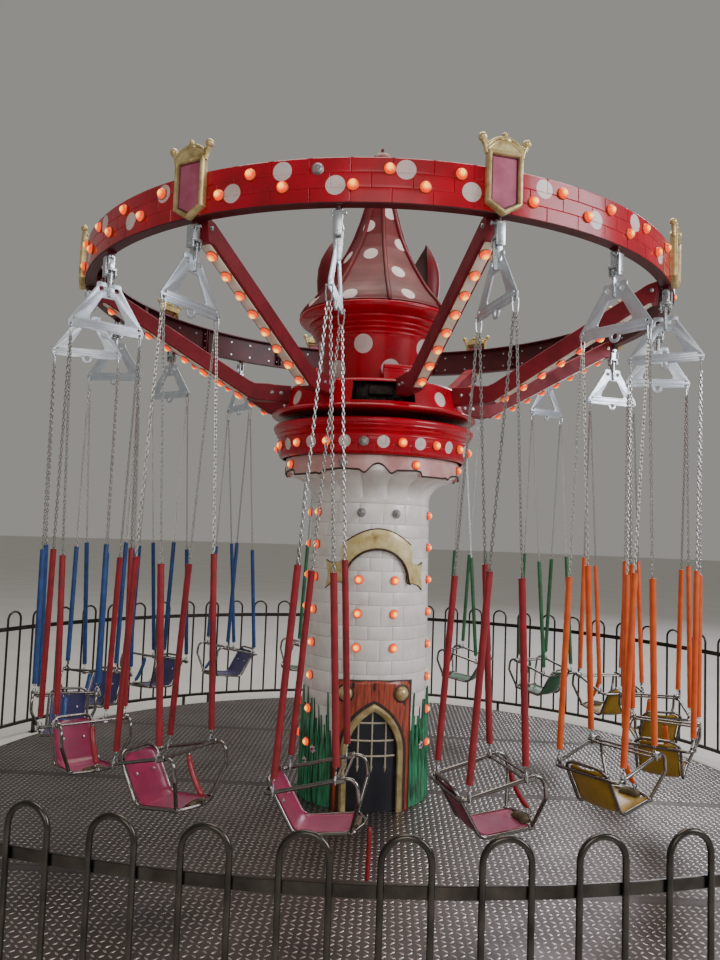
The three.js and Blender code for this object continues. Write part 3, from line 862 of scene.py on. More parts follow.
RED_GELCOAT = red_gelcoat("red_gelcoat", "#960216", "#be0625", 0.2, 0.3)
RED_SHADOW = red_shadow()
skin = Form()
seams = seam_angles(CORNICE_BRICKS, CORNICE_FIRST_SEAM, CORNICE_SEAM_RADIUS)
skin.take(*dented(cornice_rows(), seams, cornice_dent))
skin.take(*turned([(0.640, 2.462), (0.350, 2.462), (0.350, 2.5036), (0.2, 2.5036)], 96))
# The cornice's underside takes the dark shadow red: painted shade.
skin.take(*turned([(0.596, 2.2443), (0.2, 2.2443)], 96), paint=1)
cornice_dots = [(at(CORNICE_LAMP_START + 360 * (number + 0.5) / CORNICE_LAMPS,
                    outline_at(CORNICE_OUTLINE, CORNICE_ROW), CORNICE_ROW), CORNICE_DOT_RADIUS)
                for number in range(CORNICE_LAMPS)]
dotted_piece("cornice_bricks", skin, "root", [RED_GELCOAT, RED_SHADOW], cornice_dots,
             replaced="tower_cornice")
lamp_piece("cornice_lamps", cornice_lamps(), "root")

# Door
# A moulded, painted mock door: a wood-grain surround with two domed gold studs, a gold pointed arch,
# and a dark navy door leaf behind a cream portcullis. All of it is laid on the shaft's curve.
SURROUND_HALF = 0.233
SURROUND_TOP = 0.888
SURROUND_LIFT = 0.030
ARCH_SPRINGING = 0.460
ARCH_OFFSET = 0.133
FRAME_MIDDLE = 0.1735
FRAME_HALF_WIDTH = 0.0215
STUD_RADIUS = 0.045
STUD_ANGLE = 23.3
STUD_HEIGHT = 0.812
PORTCULLIS_BARS = ((-0.0872, 0.655), (-0.0045, 0.715), (0.0806, 0.665))
PORTCULLIS_FOOT = 0.384
LEAF_LIFT = 0.010
PORTCULLIS_RAILS = ((0.640, 0.087), (0.536, 0.131), (0.446, 0.140))


def on_front(across, height, lift):
    """A point in front of the shaft, given by its place as seen from the front."""
    radius = shaft_radius(height) + lift
    return Vector((across, -math.sqrt(radius ** 2 - across ** 2), height))


def pointed_arch(half, foot, steps):
    """The left and right arcs of a pointed arch on straight jambs, from its left foot to its right."""
    reach = half + ARCH_OFFSET
    top_turn = math.degrees(math.acos(ARCH_OFFSET / reach))
    right = arc((-ARCH_OFFSET, ARCH_SPRINGING), reach, 0, top_turn, steps)
    jamb = [(half, foot + (ARCH_SPRINGING - foot) * k / 3) for k in range(3)]
    side = jamb + right
    return [(-x, z) for x, z in side][:-1] + side[::-1]


def moulding(path, section, surface):
    """A moulding along a flat path; the section lists [sideways, lift] pairs."""
    rows = []
    for index, (x, z) in enumerate(path):
        before = path[max(index - 1, 0)]
        after = path[min(index + 1, len(path) - 1)]
        heading = Vector((after[0] - before[0], after[1] - before[1])).normalized()
        if 0 < index < len(path) - 1:
            first = Vector((x - before[0], z - before[1])).normalized()
            stretch = 1 / max(0.5, heading.dot(first))
        else:
            stretch = 1
        rows.append([surface(x - heading.y * aside * stretch, z + heading.x * aside * stretch, lift)
                     for aside, lift in section])
    return grid(rows)


def three_tones(tree, value, low, middle, high):
    """A colour through three stops, each a place on the ramp and a colour."""
    made = add(tree, "ValToRGB", {"Fac": value})
    stops = made.color_ramp.elements
    for stop, (place, colour) in zip(stops, (low, high)):
        stop.position, stop.color = place, linear(colour)
    stops.new(middle[0]).color = linear(middle[1])
    return made.outputs["Color"]


def door_wood():
    """Wood grain painted in glossy orange red and near-black streaks, with a few dark knots."""
    made, tree, shader = finish_of("door_wood", {"Coat Weight": 0.4, "Coat Roughness": 0.12,
                                                 "Roughness": 0.4})
    grain = noise(tree, 13, detail=5.0, roughness=0.68, stretch=(1, 1, 0.09))
    streaks = three_tones(tree, grain, (0.30, "#2a0d0b"), (0.46, "#94301d"), (0.72, "#c4602e"))
    place = add(tree, "TexCoord", {}).outputs["Object"]
    tall = add(tree, "Mapping", {"Vector": place, "Scale": (1, 1, 0.42)}).outputs["Vector"]
    cells = add(tree, "TexVoronoi", {"Vector": tall, "Scale": 1000 / 78})
    knot = between(tree, cells.outputs["Distance"], 0.10, 0.17, 1.0, 0.0)
    mixed = add(tree, "Mix", {"Factor": knot}, data_type="RGBA")
    tree.links.new(streaks, mixed.inputs[6])
    mixed.inputs[7].default_value = linear("#2a0b0a")
    tree.links.new(mixed.outputs[2], shader.inputs["Base Color"])
    bumps(tree, shader, grain, 1.2, 0.5)
    return made


def gold_paint():
    """Gold lacquer on moulded plastic: satin, part metallic, browned in the hollows."""
    return clouded("gold_paint", {"Metallic": 0.5, "Roughness": 0.34}, "#a18a54", "#e0cd97", 55,
                   detail=5.0, roughness=0.6, high=0.66)


def navy_paint():
    """Dark navy paint of the door leaf, half gloss, rubbed and dusty towards the foot."""
    return clouded("navy_paint", {"Roughness": 0.42}, "#15161c", "#22242f", 110, detail=5.0)


def cream_paint():
    """Cream paint on the raised portcullis, a little yellowed, with thin brush marks."""
    return clouded("cream_paint", {"Roughness": 0.5}, "#a39a85", "#cabfa6", 20, detail=4.0)


def surround_edge(across, height):
    """How far a place on the surround is rounded down towards its outer edges."""
    from_edge = min(SURROUND_HALF - abs(across), SURROUND_TOP - height)
    return -0.010 * max(0.0, 1 - from_edge / 0.008) ** 2


def door_surround():
    """The wood-grain panel in columns that stop at the arch, with a dark painted outline."""
    form = Form()
    foot = DECK_TOP + 0.001
    columns = 64
    reach = FRAME_MIDDLE + ARCH_OFFSET
    rows = [[] for _ in range(21)]
    for column in range(columns + 1):
        across = -SURROUND_HALF + 2 * SURROUND_HALF * column / columns
        inside = abs(across) < FRAME_MIDDLE
        low = ARCH_SPRINGING + math.sqrt(reach ** 2 - (abs(across) + ARCH_OFFSET) ** 2) if inside else foot
        for step, row in enumerate(rows):
            height = low + (SURROUND_TOP - low) * step / (len(rows) - 1)
            row.append(on_front(across, height, SURROUND_LIFT + surround_edge(across, height)))
    form.take(*grid(rows))
    border = [(-SURROUND_HALF, foot), (-SURROUND_HALF, 0.5), (-SURROUND_HALF, SURROUND_TOP - 0.003),
              (-0.1, SURROUND_TOP), (0.1, SURROUND_TOP), (SURROUND_HALF, SURROUND_TOP - 0.003),
              (SURROUND_HALF, 0.5), (SURROUND_HALF, foot)]
    edge = [(-0.006, 0.021), (-0.002, 0.027), (0.004, 0.028), (0.0045, 0.0), (0.006, -0.002)]
    form.take(*moulding(border, [(-aside, lift) for aside, lift in edge], on_front), paint=1)
    outline = pointed_arch(FRAME_MIDDLE + FRAME_HALF_WIDTH + 0.004, foot, 18)
    form.take(*moulding(outline, [(-0.010, 0.0305), (0.0, 0.0325), (0.012, 0.0315)], on_front), paint=1)
    return form


def studs():
    form = Form()
    for side in (-1, 1):
        place = facing_out(side * STUD_ANGLE, shaft_radius(STUD_HEIGHT) + SURROUND_LIFT - 0.002,
                           STUD_HEIGHT)
        dome = [(STUD_RADIUS * math.cos(math.radians(t)), STUD_RADIUS * 0.82 * math.sin(math.radians(t)))
                for t in range(0, 90, 9)] + [(0.002, STUD_RADIUS * 0.82)]
        form.take(*turned(dome, 36), place=place)
        ring = [(STUD_RADIUS + 0.011, 0.0025), (STUD_RADIUS + 0.007, 0.0045), (STUD_RADIUS - 0.002, 0.0045)]
        form.take(*turned(ring, 36), place=place, paint=1)
    return form


def arch_frame():
    form = Form()
    half = FRAME_HALF_WIDTH
    section = [(-half, 0.012), (-half, 0.034), (-half * 0.8, 0.041), (-half * 0.35, 0.044),
               (half * 0.1, 0.050), (half * 0.3, 0.051), (half * 0.5, 0.046), (half * 0.75, 0.036),
               (half, 0.026), (half, 0.004)]
    form.take(*moulding(pointed_arch(FRAME_MIDDLE, DECK_TOP + 0.001, 20), section, on_front))
    return form


def door_sheet():
    """The leaf's flush sheet, in columns that stop a little inside the arch."""
    foot = DECK_TOP + 0.001
    reach = FRAME_MIDDLE + ARCH_OFFSET
    columns = 40
    rows = [[] for _ in range(9)]
    for column in range(columns + 1):
        across = FRAME_MIDDLE * 0.985 * (2 * column / columns - 1)
        top = ARCH_SPRINGING + math.sqrt(reach ** 2 - (abs(across) + ARCH_OFFSET) ** 2)
        for step, row in enumerate(rows):
            row.append(on_front(across, foot + (top - foot) * step / (len(rows) - 1), LEAF_LIFT))
    return grid(rows)


def spike(across, bar):
    """The pointed foot of a portcullis bar, from its tip up to the bar's own section."""
    tip = [(-0.0004, LEAF_LIFT), (0.0, 0.011), (0.0004, LEAF_LIFT)]
    widest = [(-0.0085, LEAF_LIFT), (0.0, 0.018), (0.0085, LEAF_LIFT)]
    levels = ((PORTCULLIS_FOOT - 0.034, tip), (PORTCULLIS_FOOT, widest),
              (PORTCULLIS_FOOT + 0.012, bar[::2]))
    return grid([[on_front(across + aside, height, lift) for aside, lift in section]
                 for height, section in levels])


def door_leaf():
    """The sheet, and the bars and rails that stand proud of it."""
    form = Form()
    form.take(*door_sheet())
    bar = [(-0.0052, LEAF_LIFT), (-0.0042, 0.0155), (0.0, 0.0175), (0.0042, 0.0155), (0.0052, LEAF_LIFT)]
    for across, top in PORTCULLIS_BARS:
        line = [(across, PORTCULLIS_FOOT + (top - PORTCULLIS_FOOT) * k / 8) for k in range(9)]
        form.take(*moulding(line, bar, on_front), paint=1)
        form.take(*spike(across, bar), paint=1)
    for height, half in PORTCULLIS_RAILS:
        line = [(half * (k / 6 - 1), height) for k in range(13)]
        form.take(*moulding(line, bar, on_front), paint=1)
    return form


GOLD_PAINT = gold_paint()
piece("door_surround_panel", door_surround(), "root", [door_wood(), OUTLINE_DARK],
      smooth=50, closed=False, replaced="door_surround")
piece("door_studs", studs(), "root", [GOLD_PAINT, OUTLINE_DARK], closed=False)
piece("door_arch_frame", arch_frame(), "root", [GOLD_PAINT], smooth=50, closed=False)
piece("door_leaf_and_portcullis", door_leaf(), "root", [navy_paint(), cream_paint()],
      smooth=50, closed=False, replaced="door_leaf")

# Grass
# Painted tufts of grass moulded in low relief at both sides of the door, about as high as its arch,
# with brown stalks at the left and small pink and white flowers.
BLADES_PER_SIDE = 34
GRASS_FROM, GRASS_TO = 35, 82
GOLDEN_STEP = 0.618
BLADE_LOW, BLADE_SPREAD = 0.50, 0.27
TALL_BLADE, TALL_EVERY = 0.80, 11
BLADE_HALF_WIDTH, BLADE_EXTRA_WIDTH = 0.016, 0.013
BLADE_LEAN = 7
STALKS_FROM = 0.86
FLOWERS = ((51, 0.47), (-55, 0.44), (-66, 0.35))


def grass_paint():
    """Glossy green enamel, bright on the ribs of the blades and dark between them."""
    return clouded("grass_paint", {"Roughness": 0.35, "Coat Weight": 0.4}, "#0d3a20", "#3fa373", 16,
                   detail=3.0, stretch=(1, 1, 0.12), low=0.34, high=0.68)


def grass_shadow():
    """Blackish green enamel of the blades that lie behind, a little duller."""
    return clouded("grass_shadow", {"Roughness": 0.5}, "#0a2415", "#174a2a", 20)


def stalk_paint():
    """Dull brown paint of dry stalks, streaked darker along them."""
    return clouded("stalk_paint", {"Roughness": 0.55}, "#3a2219", "#6b4030", 12, stretch=(1, 1, 0.1))


def petal_paint():
    """Pink and white petal enamel, paler at the rims."""
    return clouded("petal_paint", {"Roughness": 0.4}, "#c98aa2", "#ead9dc", 9, low=0.35, high=0.65)


def blade(angle, top, half_width, lean, lift):
    """One blade: a ridged strip that narrows to a point and leans over as it rises."""
    foot = DECK_TOP + 0.002
    rows = []
    for step in range(9):
        rise = step / 8
        height = foot + (top - foot) * rise
        middle = angle + lean * rise ** 2
        wide = half_width * (1 - rise ** 1.7) + 0.0004
        aside = math.degrees(wide / shaft_radius(height))
        rows.append([on_shaft(middle + side * aside, height, ridge)
                     for side, ridge in ((-1, 0.001), (0, lift), (1, 0.001))])
    return grid(rows)


def tuft(side):
    form = Form()
    for number in range(BLADES_PER_SIDE):
        chance = (number * GOLDEN_STEP) % 1
        other = (number * GOLDEN_STEP ** 2 * 1.9) % 1
        angle = side * (GRASS_FROM + (GRASS_TO - GRASS_FROM) * chance)
        behind = number % 3 == 0
        wave = 0.72 + 0.28 * math.sin(math.radians((chance - 0.1) * 200))
        top = BLADE_LOW + BLADE_SPREAD * other * wave
        if number % TALL_EVERY == TALL_EVERY // 2:
            top = TALL_BLADE
        stalk = side < 0 and chance > STALKS_FROM and other < 0.6
        paint = 2 if stalk else 1 if behind else 0
        ridge = 0.007 if behind else 0.013
        half_width = BLADE_HALF_WIDTH + BLADE_EXTRA_WIDTH * other
        form.take(*blade(angle, top, half_width, side * (other - 0.4) * BLADE_LEAN, ridge), paint=paint)
    return form


def flowers():
    form = Form()
    for angle, height in FLOWERS:
        place = facing_out(angle, shaft_radius(height) + 0.011, height)
        for petal in range(6):
            turn = Matrix.Rotation(math.radians(60 * petal + 12), 4, "Z")
            turn = turn @ Matrix.Translation((0.015, 0, 0))
            disc = [(0.010, 0.0), (0.008, 0.004), (0.004, 0.0055), (0.0005, 0.006)]
            squash = Matrix.Diagonal((1.2, 0.7, 1, 1))
            form.take(*turned(disc, 12), place=place @ turn @ squash)
        form.take(*turned([(0.007, 0.004), (0.006, 0.008), (0.0005, 0.009)], 12), place=place, paint=1)
    return form


GRASS_PAINTS = [grass_paint(), grass_shadow(), stalk_paint()]
for name, side in (("grass_right_of_door", 1), ("grass_left_of_door", -1)):
    piece(name, tuft(side), "root", GRASS_PAINTS, smooth=20, closed=False)
piece("grass_flowers", flowers(), "root", [petal_paint(), RED_SHADOW], closed=False)

# Scroll
# A blank gold scroll in relief high on the shaft's front: a deep arched band with a dark brown
# thickness, and two forked tails that fold back behind it.
SCROLL_HALF = 32
SCROLL_TOP_LINE = [(turn, 1.694 + 0.108 * math.cos(math.radians(90 * turn / 34)))
                   for turn in range(-SCROLL_HALF, SCROLL_HALF + 1)]
SCROLL_LOW_LINE = [(turn / 2, 1.475 + 0.21 * math.sqrt(max(0.0, 1 - (turn / 58.4) ** 2)))
                   for turn in range(-2 * SCROLL_HALF, 2 * SCROLL_HALF + 1)]
TAIL_TOP_LINE = ((28, 1.612), (33, 1.606), (38, 1.588), (43, 1.584), (47, 1.592), (50, 1.603))
TAIL_LOW_LINE = ((28, 1.486), (33, 1.474), (38, 1.470), (43, 1.462), (47, 1.446), (50, 1.430))
SCROLL_LIFT = 0.026
TAIL_LIFT = 0.014


def scroll_gold():
    """Parchment painted pale gold with brown shading that gathers in soft patches."""
    made, tree, shader = finish_of("scroll_gold", {"Roughness": 0.38, "Coat Weight": 0.3, "Metallic": 0.15})
    patch = noise(tree, 85, detail=5.0, roughness=0.55)
    shades = three_tones(tree, patch, (0.26, "#8a6a3a"), (0.42, "#cdb878"), (0.66, "#e6dcaa"))
    tree.links.new(shades, shader.inputs["Base Color"])
    bumps(tree, shader, patch, 1.5, 0.3)
    return made


def scroll_brown():
    """Dark brown paint of the scroll's thickness, glossy, going black in the folds."""
    return clouded("scroll_brown", {"Roughness": 0.4}, "#24130c", "#4a2c1b", 30)


def ribbon(form, top_line, low_line, columns, lift, side=1, notch=0.0):
    """A raised ribbon between two lines, with a dark thickness all round its edge."""
    first, last = top_line[0][0], top_line[-1][0]
    steps = 6
    rows = [[] for _ in range(steps + 3)]
    for column in range(columns + 1):
        share = column / columns
        angle = first + (last - first) * share
        high, low = along_line(top_line, angle), along_line(low_line, angle)
        for step in range(steps + 1):
            up = step / steps
            end = notch * max(0.0, share * 5 - 4) * math.sin(math.pi * up)
            round_off = 0.004 * max(0.0, abs(2 * up - 1) - 0.75) * 4
            rows[step + 1].append(on_shaft(side * (angle - end), low + (high - low) * up, lift - round_off))
        rows[0].append(on_shaft(side * angle, low - 0.004, 0.0))
        rows[-1].append(on_shaft(side * angle, high + 0.004, 0.0))
    form.take(*grid(rows[1:-1]))
    form.take(*grid(rows[:2]), paint=1)
    form.take(*grid(rows[-2:]), paint=1)
    for end in (0, -1):
        inner = [row[end] for row in rows[1:-1]]
        wall = [Vector((point.x, point.y, 0)).normalized() * shaft_radius(point.z)
                + Vector((0, 0, point.z)) for point in inner]
        form.take(*grid([inner, wall]), paint=1)


def scroll():
    form = Form()
    ribbon(form, SCROLL_TOP_LINE, SCROLL_LOW_LINE, 128, SCROLL_LIFT)
    for side in (-1, 1):
        ribbon(form, TAIL_TOP_LINE, TAIL_LOW_LINE, 22, TAIL_LIFT, side, notch=3.5)
    for line, shift in ((SCROLL_LOW_LINE, -0.004), (SCROLL_TOP_LINE, 0.003)):
        path = [on_shaft(a, along_line(line, a) + shift, SCROLL_LIFT - 0.006)
                for a in range(-31, 32)]
        form.take(*tube(path, 0.0075 if shift < 0 else 0.0045, 8), paint=1)
    return form


piece("scroll_on_shaft", scroll(), "root", [scroll_gold(), scroll_brown()],
      smooth=50, closed=False, replaced="scroll_banner")

# Hub
# The turning hub: a red drum on a rounded lip ring, with white dots between the arms and an open
# machinery recess at the front, where a dark drive gear shows.
ROTOR_PHASE = 8.6
ARMS = 8
HUB_LIP_OUTLINE = ((0.200, 2.5042), (0.350, 2.5042), (0.352, 2.510), (0.600, 2.510), (0.650, 2.5125),
                   (0.669, 2.517), (0.677, 2.524), (0.678, 2.530), (0.673, 2.537), (0.660, 2.543),
                   (0.638, 2.547), (0.615, 2.549), (0.604, 2.553))
HUB_FOOT_RADIUS, HUB_HEAD_RADIUS = 0.602, 0.568
HUB_FOOT, HUB_HEAD = 2.553, 2.695
RECESS_FROM, RECESS_TO = -21.4, 16.2
RECESS_TURNS = [RECESS_FROM + (RECESS_TO - RECESS_FROM) * k / 32 for k in range(33)]
RECESS_LOW, RECESS_HIGH = 2.568, 2.688
RECESS_DEPTH = 0.110
HUB_DOT_RADIUS = 0.047
HUB_DOT_HEIGHT = 2.612
HUB_DOTS = (-64.0, 35.4, 76.0, 121.0, 166.0, 211.0, 256.0)
NECK_DOT_RADIUS = 0.060
NECK_DOTS = ((-20.5, 2.961), (43.2, 2.972), (7.4, 2.814), (-50.0, 2.812), (-79.0, 2.965), (74.0, 2.815),
             (104.0, 2.970), (131.0, 2.812), (160.0, 2.965), (189.0, 2.815), (219.0, 2.970), (248.0, 2.815))


def hub_radius(height):
    share = (height - HUB_FOOT) / (HUB_HEAD - HUB_FOOT)
    return HUB_FOOT_RADIUS + (HUB_HEAD_RADIUS - HUB_FOOT_RADIUS) * share


def machinery_and_recess_shade():
    """Greased, blackened steel inside the recess, with dull worn patches; the recess's own walls take the
    same near-black as painted shade.
    """
    return clouded("machinery_and_recess_shade", {"Metallic": 0.8, "Roughness": 0.5}, "#171313", "#3d3330", 35,
                   detail=5.0, low=0.35)


def hub():
    form = Form()
    form.take(*turned(HUB_LIP_OUTLINE, 144))
    heights = [HUB_FOOT + (HUB_HEAD - HUB_FOOT) * k / 16 for k in range(17)]
    angles = [RECESS_TO + (360 + RECESS_FROM - RECESS_TO) * k / 280 for k in range(281)]
    form.take(*grid([[at(a, hub_radius(h), h) for a in angles] for h in heights]))
    for low, high in ((HUB_FOOT, RECESS_LOW), (RECESS_HIGH, HUB_HEAD)):
        form.take(*grid([[at(a, hub_radius(h), h) for a in RECESS_TURNS] for h in (low, high)]))
    top = [(HUB_HEAD_RADIUS, HUB_HEAD), (0.562, 2.706), (0.548, 2.713), (0.530, 2.715), (0.3, 2.715)]
    form.take(*turned(top, 144, capped=False))
    return form


def hub_recess():
    """The recess's walls and, inside it, a gear rim, a motor block and a row of bolt heads."""
    form = Form()
    inner = HUB_FOOT_RADIUS - RECESS_DEPTH
    section = [(hub_radius(RECESS_LOW), RECESS_LOW), (inner, RECESS_LOW), (inner, RECESS_HIGH),
               (hub_radius(RECESS_HIGH), RECESS_HIGH)]
    form.take(*grid([[at(a, r, z) for a in RECESS_TURNS] for r, z in section]))
    for end in (RECESS_FROM, RECESS_TO):
        form.take(*grid([[at(end, hub_radius(RECESS_LOW), RECESS_LOW), at(end, inner, RECESS_LOW)],
                         [at(end, hub_radius(RECESS_HIGH), RECESS_HIGH), at(end, inner, RECESS_HIGH)]]))
    teeth = [at(a * 0.5, inner + (0.026 if a % 4 < 2 else 0.014), z) for z in (2.574, 2.602)
             for a in range(int(RECESS_FROM * 2), int(RECESS_TO * 2))]
    half = len(teeth) // 2
    form.take(*grid([teeth[:half], teeth[half:]]))
    motor = facing_out(-4, inner + 0.038, 2.636)
    form.take(*block((0.055, 0.150, 0.060), 0.006), place=motor)
    for number in range(7):
        place = facing_out(RECESS_FROM + 5 + number * 4.6, inner + 0.002, 2.674)
        form.take(*turned([(0.009, 0), (0.009, 0.008), (0.006, 0.010), (0.001, 0.010)], 6), place=place)
    return form


hub_dots = [(at(angle, hub_radius(HUB_DOT_HEIGHT), HUB_DOT_HEIGHT), HUB_DOT_RADIUS) for angle in HUB_DOTS]
dotted_piece("hub_drum", hub(), "rotor", [RED_GELCOAT], hub_dots, replaced="slewing_hub")
# The recess's walls, gear, motor and bolts are all near-black: on the walls this is painted shade.
piece("hub_recess", hub_recess(), "rotor", [machinery_and_recess_shade()], smooth=30, closed=False)

# Neck
# The red barrel above the hub, with big white dots, three fine ring mouldings and a wide rolled brim,
# and a small red cable tray in front of its foot.
NECK_OUTLINE = ((0.340, 2.7153), (0.342, 2.728), (0.344, 2.745), (0.391, 3.012), (0.395, 3.022),
                (0.402, 3.027), (0.405, 3.034), (0.403, 3.041), (0.400, 3.047), (0.408, 3.053),
                (0.416, 3.058), (0.418, 3.064), (0.416, 3.070), (0.413, 3.076), (0.421, 3.082),
                (0.430, 3.086), (0.433, 3.092), (0.431, 3.098), (0.427, 3.104), (0.438, 3.112),
                (0.451, 3.119), (0.457, 3.126), (0.457, 3.133), (0.453, 3.139), (0.470, 3.1435),
                (0.490, 3.152), (0.508, 3.163), (0.520, 3.176), (0.524, 3.188), (0.521, 3.197),
                (0.514, 3.205))
TRAY_FROM, TRAY_TO = -1.8, 22.0


def neck():
    """The barrel's own corners, with closer rows where the dots lie."""
    form = Form()
    heights = {height for _, height in NECK_OUTLINE} | {2.755 + 0.012 * k for k in range(23)}
    profile = [(outline_at(NECK_OUTLINE, height), height) for height in sorted(heights)]
    form.take(*turned(profile + [(0.2, 3.205)], 220))
    return form


def cable_tray():
    form = Form()
    section = [(0.425, 2.7155), (0.490, 2.7155), (0.497, 2.722), (0.497, 2.768), (0.490, 2.774),
               (0.484, 2.776), (0.484, 2.786), (0.490, 2.790), (0.488, 2.806), (0.480, 2.816),
               (0.425, 2.816)]
    rows = [[at(TRAY_FROM + (TRAY_TO - TRAY_FROM) * k / 12, radius, height) for radius, height in section]
            for k in range(13)]
    form.take(*grid(rows, around=True, capped=True))
    return form


neck_dots = [(at(angle, outline_at(NECK_OUTLINE, height), height), NECK_DOT_RADIUS)
             for angle, height in NECK_DOTS]
dotted_piece("neck_barrel", neck(), "rotor", [RED_GELCOAT], neck_dots, smooth=60, replaced="neck_drum")
dotted_piece("neck_cable_tray", cable_tray(), "rotor", [RED_GELCOAT], [])

# Roof
# An eight-sided tent-shaped red roof with rounded beads on its ribs, hollow panels with white dots,
# a ball and a spike, and two hollow, pointed hoods at its sides, dark with painted shade.
ROOF_RIBS = ((0.512, 3.2055), (0.506, 3.222), (0.490, 3.250), (0.462, 3.287), (0.428, 3.323),
             (0.400, 3.357), (0.372, 3.397), (0.343, 3.442), (0.306, 3.500), (0.273, 3.557),
             (0.220, 3.650), (0.175, 3.749), (0.130, 3.880), (0.092, 4.020), (0.066, 4.120),
             (0.052, 4.200))
ROOF_HOLLOW = 0.06
BEAD_RADIUS = 0.014
ROOF_DOT_RADIUS = 0.048
ROOF_DOTS = ((25.7, 3.921), (-41.1, 3.818), (37.7, 3.689), (-21.7, 3.591), (-73.1, 3.608), (15.2, 3.454),
             (-30.7, 3.263), (17.4, 3.282), (66.0, 3.440), (100.0, 3.300), (112.0, 3.560), (104.0, 3.820),
             (140.0, 3.420), (152.0, 3.680), (146.0, 3.950), (170.0, 3.300), (190.0, 3.560), (182.0, 3.800),
             (215.0, 3.320), (224.0, 3.600), (218.0, 3.900), (244.0, 3.440), (276.0, 3.300))
FINIAL_OUTLINE = ((0.052, 4.195), (0.062, 4.206), (0.075, 4.228), (0.084, 4.256), (0.086, 4.284),
                  (0.081, 4.314), (0.069, 4.342), (0.052, 4.360), (0.030, 4.370), (0.014, 4.374),
                  (0.011, 4.380), (0.011, 4.402), (0.008, 4.414), (0.002, 4.4195))
HOODS = ((82.1, -1), (262.1, 1))
HOOD_STATIONS = ((0.398, 3.325, 0.044, 0.030, 0.045), (0.412, 3.400, 0.058, 0.070, 0.060),
                 (0.417, 3.470, 0.065, 0.088, 0.098), (0.413, 3.550, 0.063, 0.085, 0.138),
                 (0.395, 3.620, 0.054, 0.072, 0.150), (0.365, 3.680, 0.034, 0.045, 0.086),
                 (0.340, 3.722, 0.015, 0.018, 0.034), (0.322, 3.745, 0.003, 0.004, 0.006))


def roof_radius(angle, height):
    share = angle % 45 / 45
    return outline_at(ROOF_RIBS, height) * (1 - ROOF_HOLLOW * math.sin(math.pi * share) ** 0.8)


def roof():
    form = Form()
    heights = sorted({height for _, height in ROOF_RIBS} | {3.212 + 0.013 * k for k in range(76)})
    turns = [360 * k / 216 for k in range(216)]
    form.take(*grid([[at(turn, roof_radius(turn, height), height) for turn in turns] for height in heights],
                    around=True))
    form.take(*turned([(0.505, 3.2055), (0.515, 3.2065), (0.517, 3.211), (0.512, 3.216),
                       (0.460, 3.218)], 96))
    for rib in range(8):
        form.take(*tube([at(45 * rib, radius - 0.002, height) for radius, height in ROOF_RIBS],
                        BEAD_RADIUS, 10))
    form.take(*turned(FINIAL_OUTLINE, 40))
    return form


def hood(near, inset):
    """Rows of a leaf-shaped shell, C-shaped in plan; its lip on the near side is the short one."""
    rows = []
    for radius, height, half, near_reach, far_reach in HOOD_STATIONS:
        row = []
        for step in range(-9, 10):
            turn = math.radians(10 * step)
            reach = near_reach if step * near > 0 else far_reach
            row.append((radius - inset - max(reach - inset, 0.001) * (1 - math.cos(turn)),
                        max(half - inset, 0.001) * math.sin(turn), height))
        rows.append(row)
    return rows


def hood_shell(angle, near):
    form = Form()
    turn = outwards(angle)
    outer, inner = hood(near, 0.0), hood(near, 0.007)
    form.take(*grid(outer), place=turn)
    # Inside the hood: the dark shadow red, painted shade.
    form.take(*grid(inner), place=turn, paint=1)
    for edge in (0, -1):
        form.take(*grid([[row[edge] for row in outer], [row[edge] for row in inner]]), place=turn)
        form.take(*grid([outer[edge], inner[edge]]), place=turn)
    return form


roof_dots = [(at(angle, roof_radius(angle, height), height), ROOF_DOT_RADIUS)
             for angle, height in ROOF_DOTS]
# The roof and the hoods' outsides are a matt, darker copy of the red gelcoat: matt like the real roof, and
# darker as painted shade.
ROOF_RED_IN_SHADE = red_gelcoat("roof_red_in_shade", "#54020c", "#700714", 0.0, 0.5)
dotted_piece("roof_tent", roof(), "rotor", [ROOF_RED_IN_SHADE], roof_dots, smooth=50, replaced="cone_roof")
for number, (angle, near) in enumerate(HOODS):
    dotted_piece(f"roof_hood_{number + 1}", hood_shell(angle, near), "rotor", [ROOF_RED_IN_SHADE, RED_SHADOW], [],
                 smooth=50)

# Arms
# Eight boxed steel beams in dark red paint, level at the hub and then in one slope up to the rim,
# each with bolt heads near both ends, and a cream lamp board with eight amber lamps.
ARM_HALF_WIDTH = 0.042
ARM_DEPTH = 0.108
ARM_SLOPE = 0.568
ARM_KNEE, ARM_KNEE_FOOT = 0.850, 2.616
ARM_INNER, ARM_OUTER = 0.575, 1.800
LEVEL_FOOT = 2.602
ARM_BOLT_HEIGHT = 0.055
ARM_BOLT = [(0.012, 0), (0.012, 0.002), (0.009, 0.0025), (0.009, 0.008), (0.007, 0.010), (0.001, 0.010)]
BOARD_FROM, BOARD_TO = 0.850, 1.760
BOARD_HALF_WIDTH = 0.027
BOARD_THICKNESS = 0.008
ARM_LAMPS = 8
ARM_LAMP_START, ARM_LAMP_STEP = 0.902, 0.1135
ARM_LAMP_RADIUS = 0.029


def arm_foot(radius):
    return ARM_KNEE_FOOT + ARM_SLOPE * (radius - ARM_KNEE)


def beam_paint():
    """Dark red brushed paint on welded steel: maroon, half gloss, with weld marks and dust."""
    made, tree, shader = finish_of("beam_paint", {"Specular IOR Level": 0.35})
    dust = noise(tree, 130, detail=5.0, roughness=0.6)
    tree.links.new(ramp(tree, dust, 0.3, 0.68, "#6a0f1b", "#8c1b2a"), shader.inputs["Base Color"])
    tree.links.new(between(tree, dust, 0.3, 0.7, 0.6, 0.45), shader.inputs["Roughness"])
    bumps(tree, shader, noise(tree, 14), 0.4, 0.25)
    return made


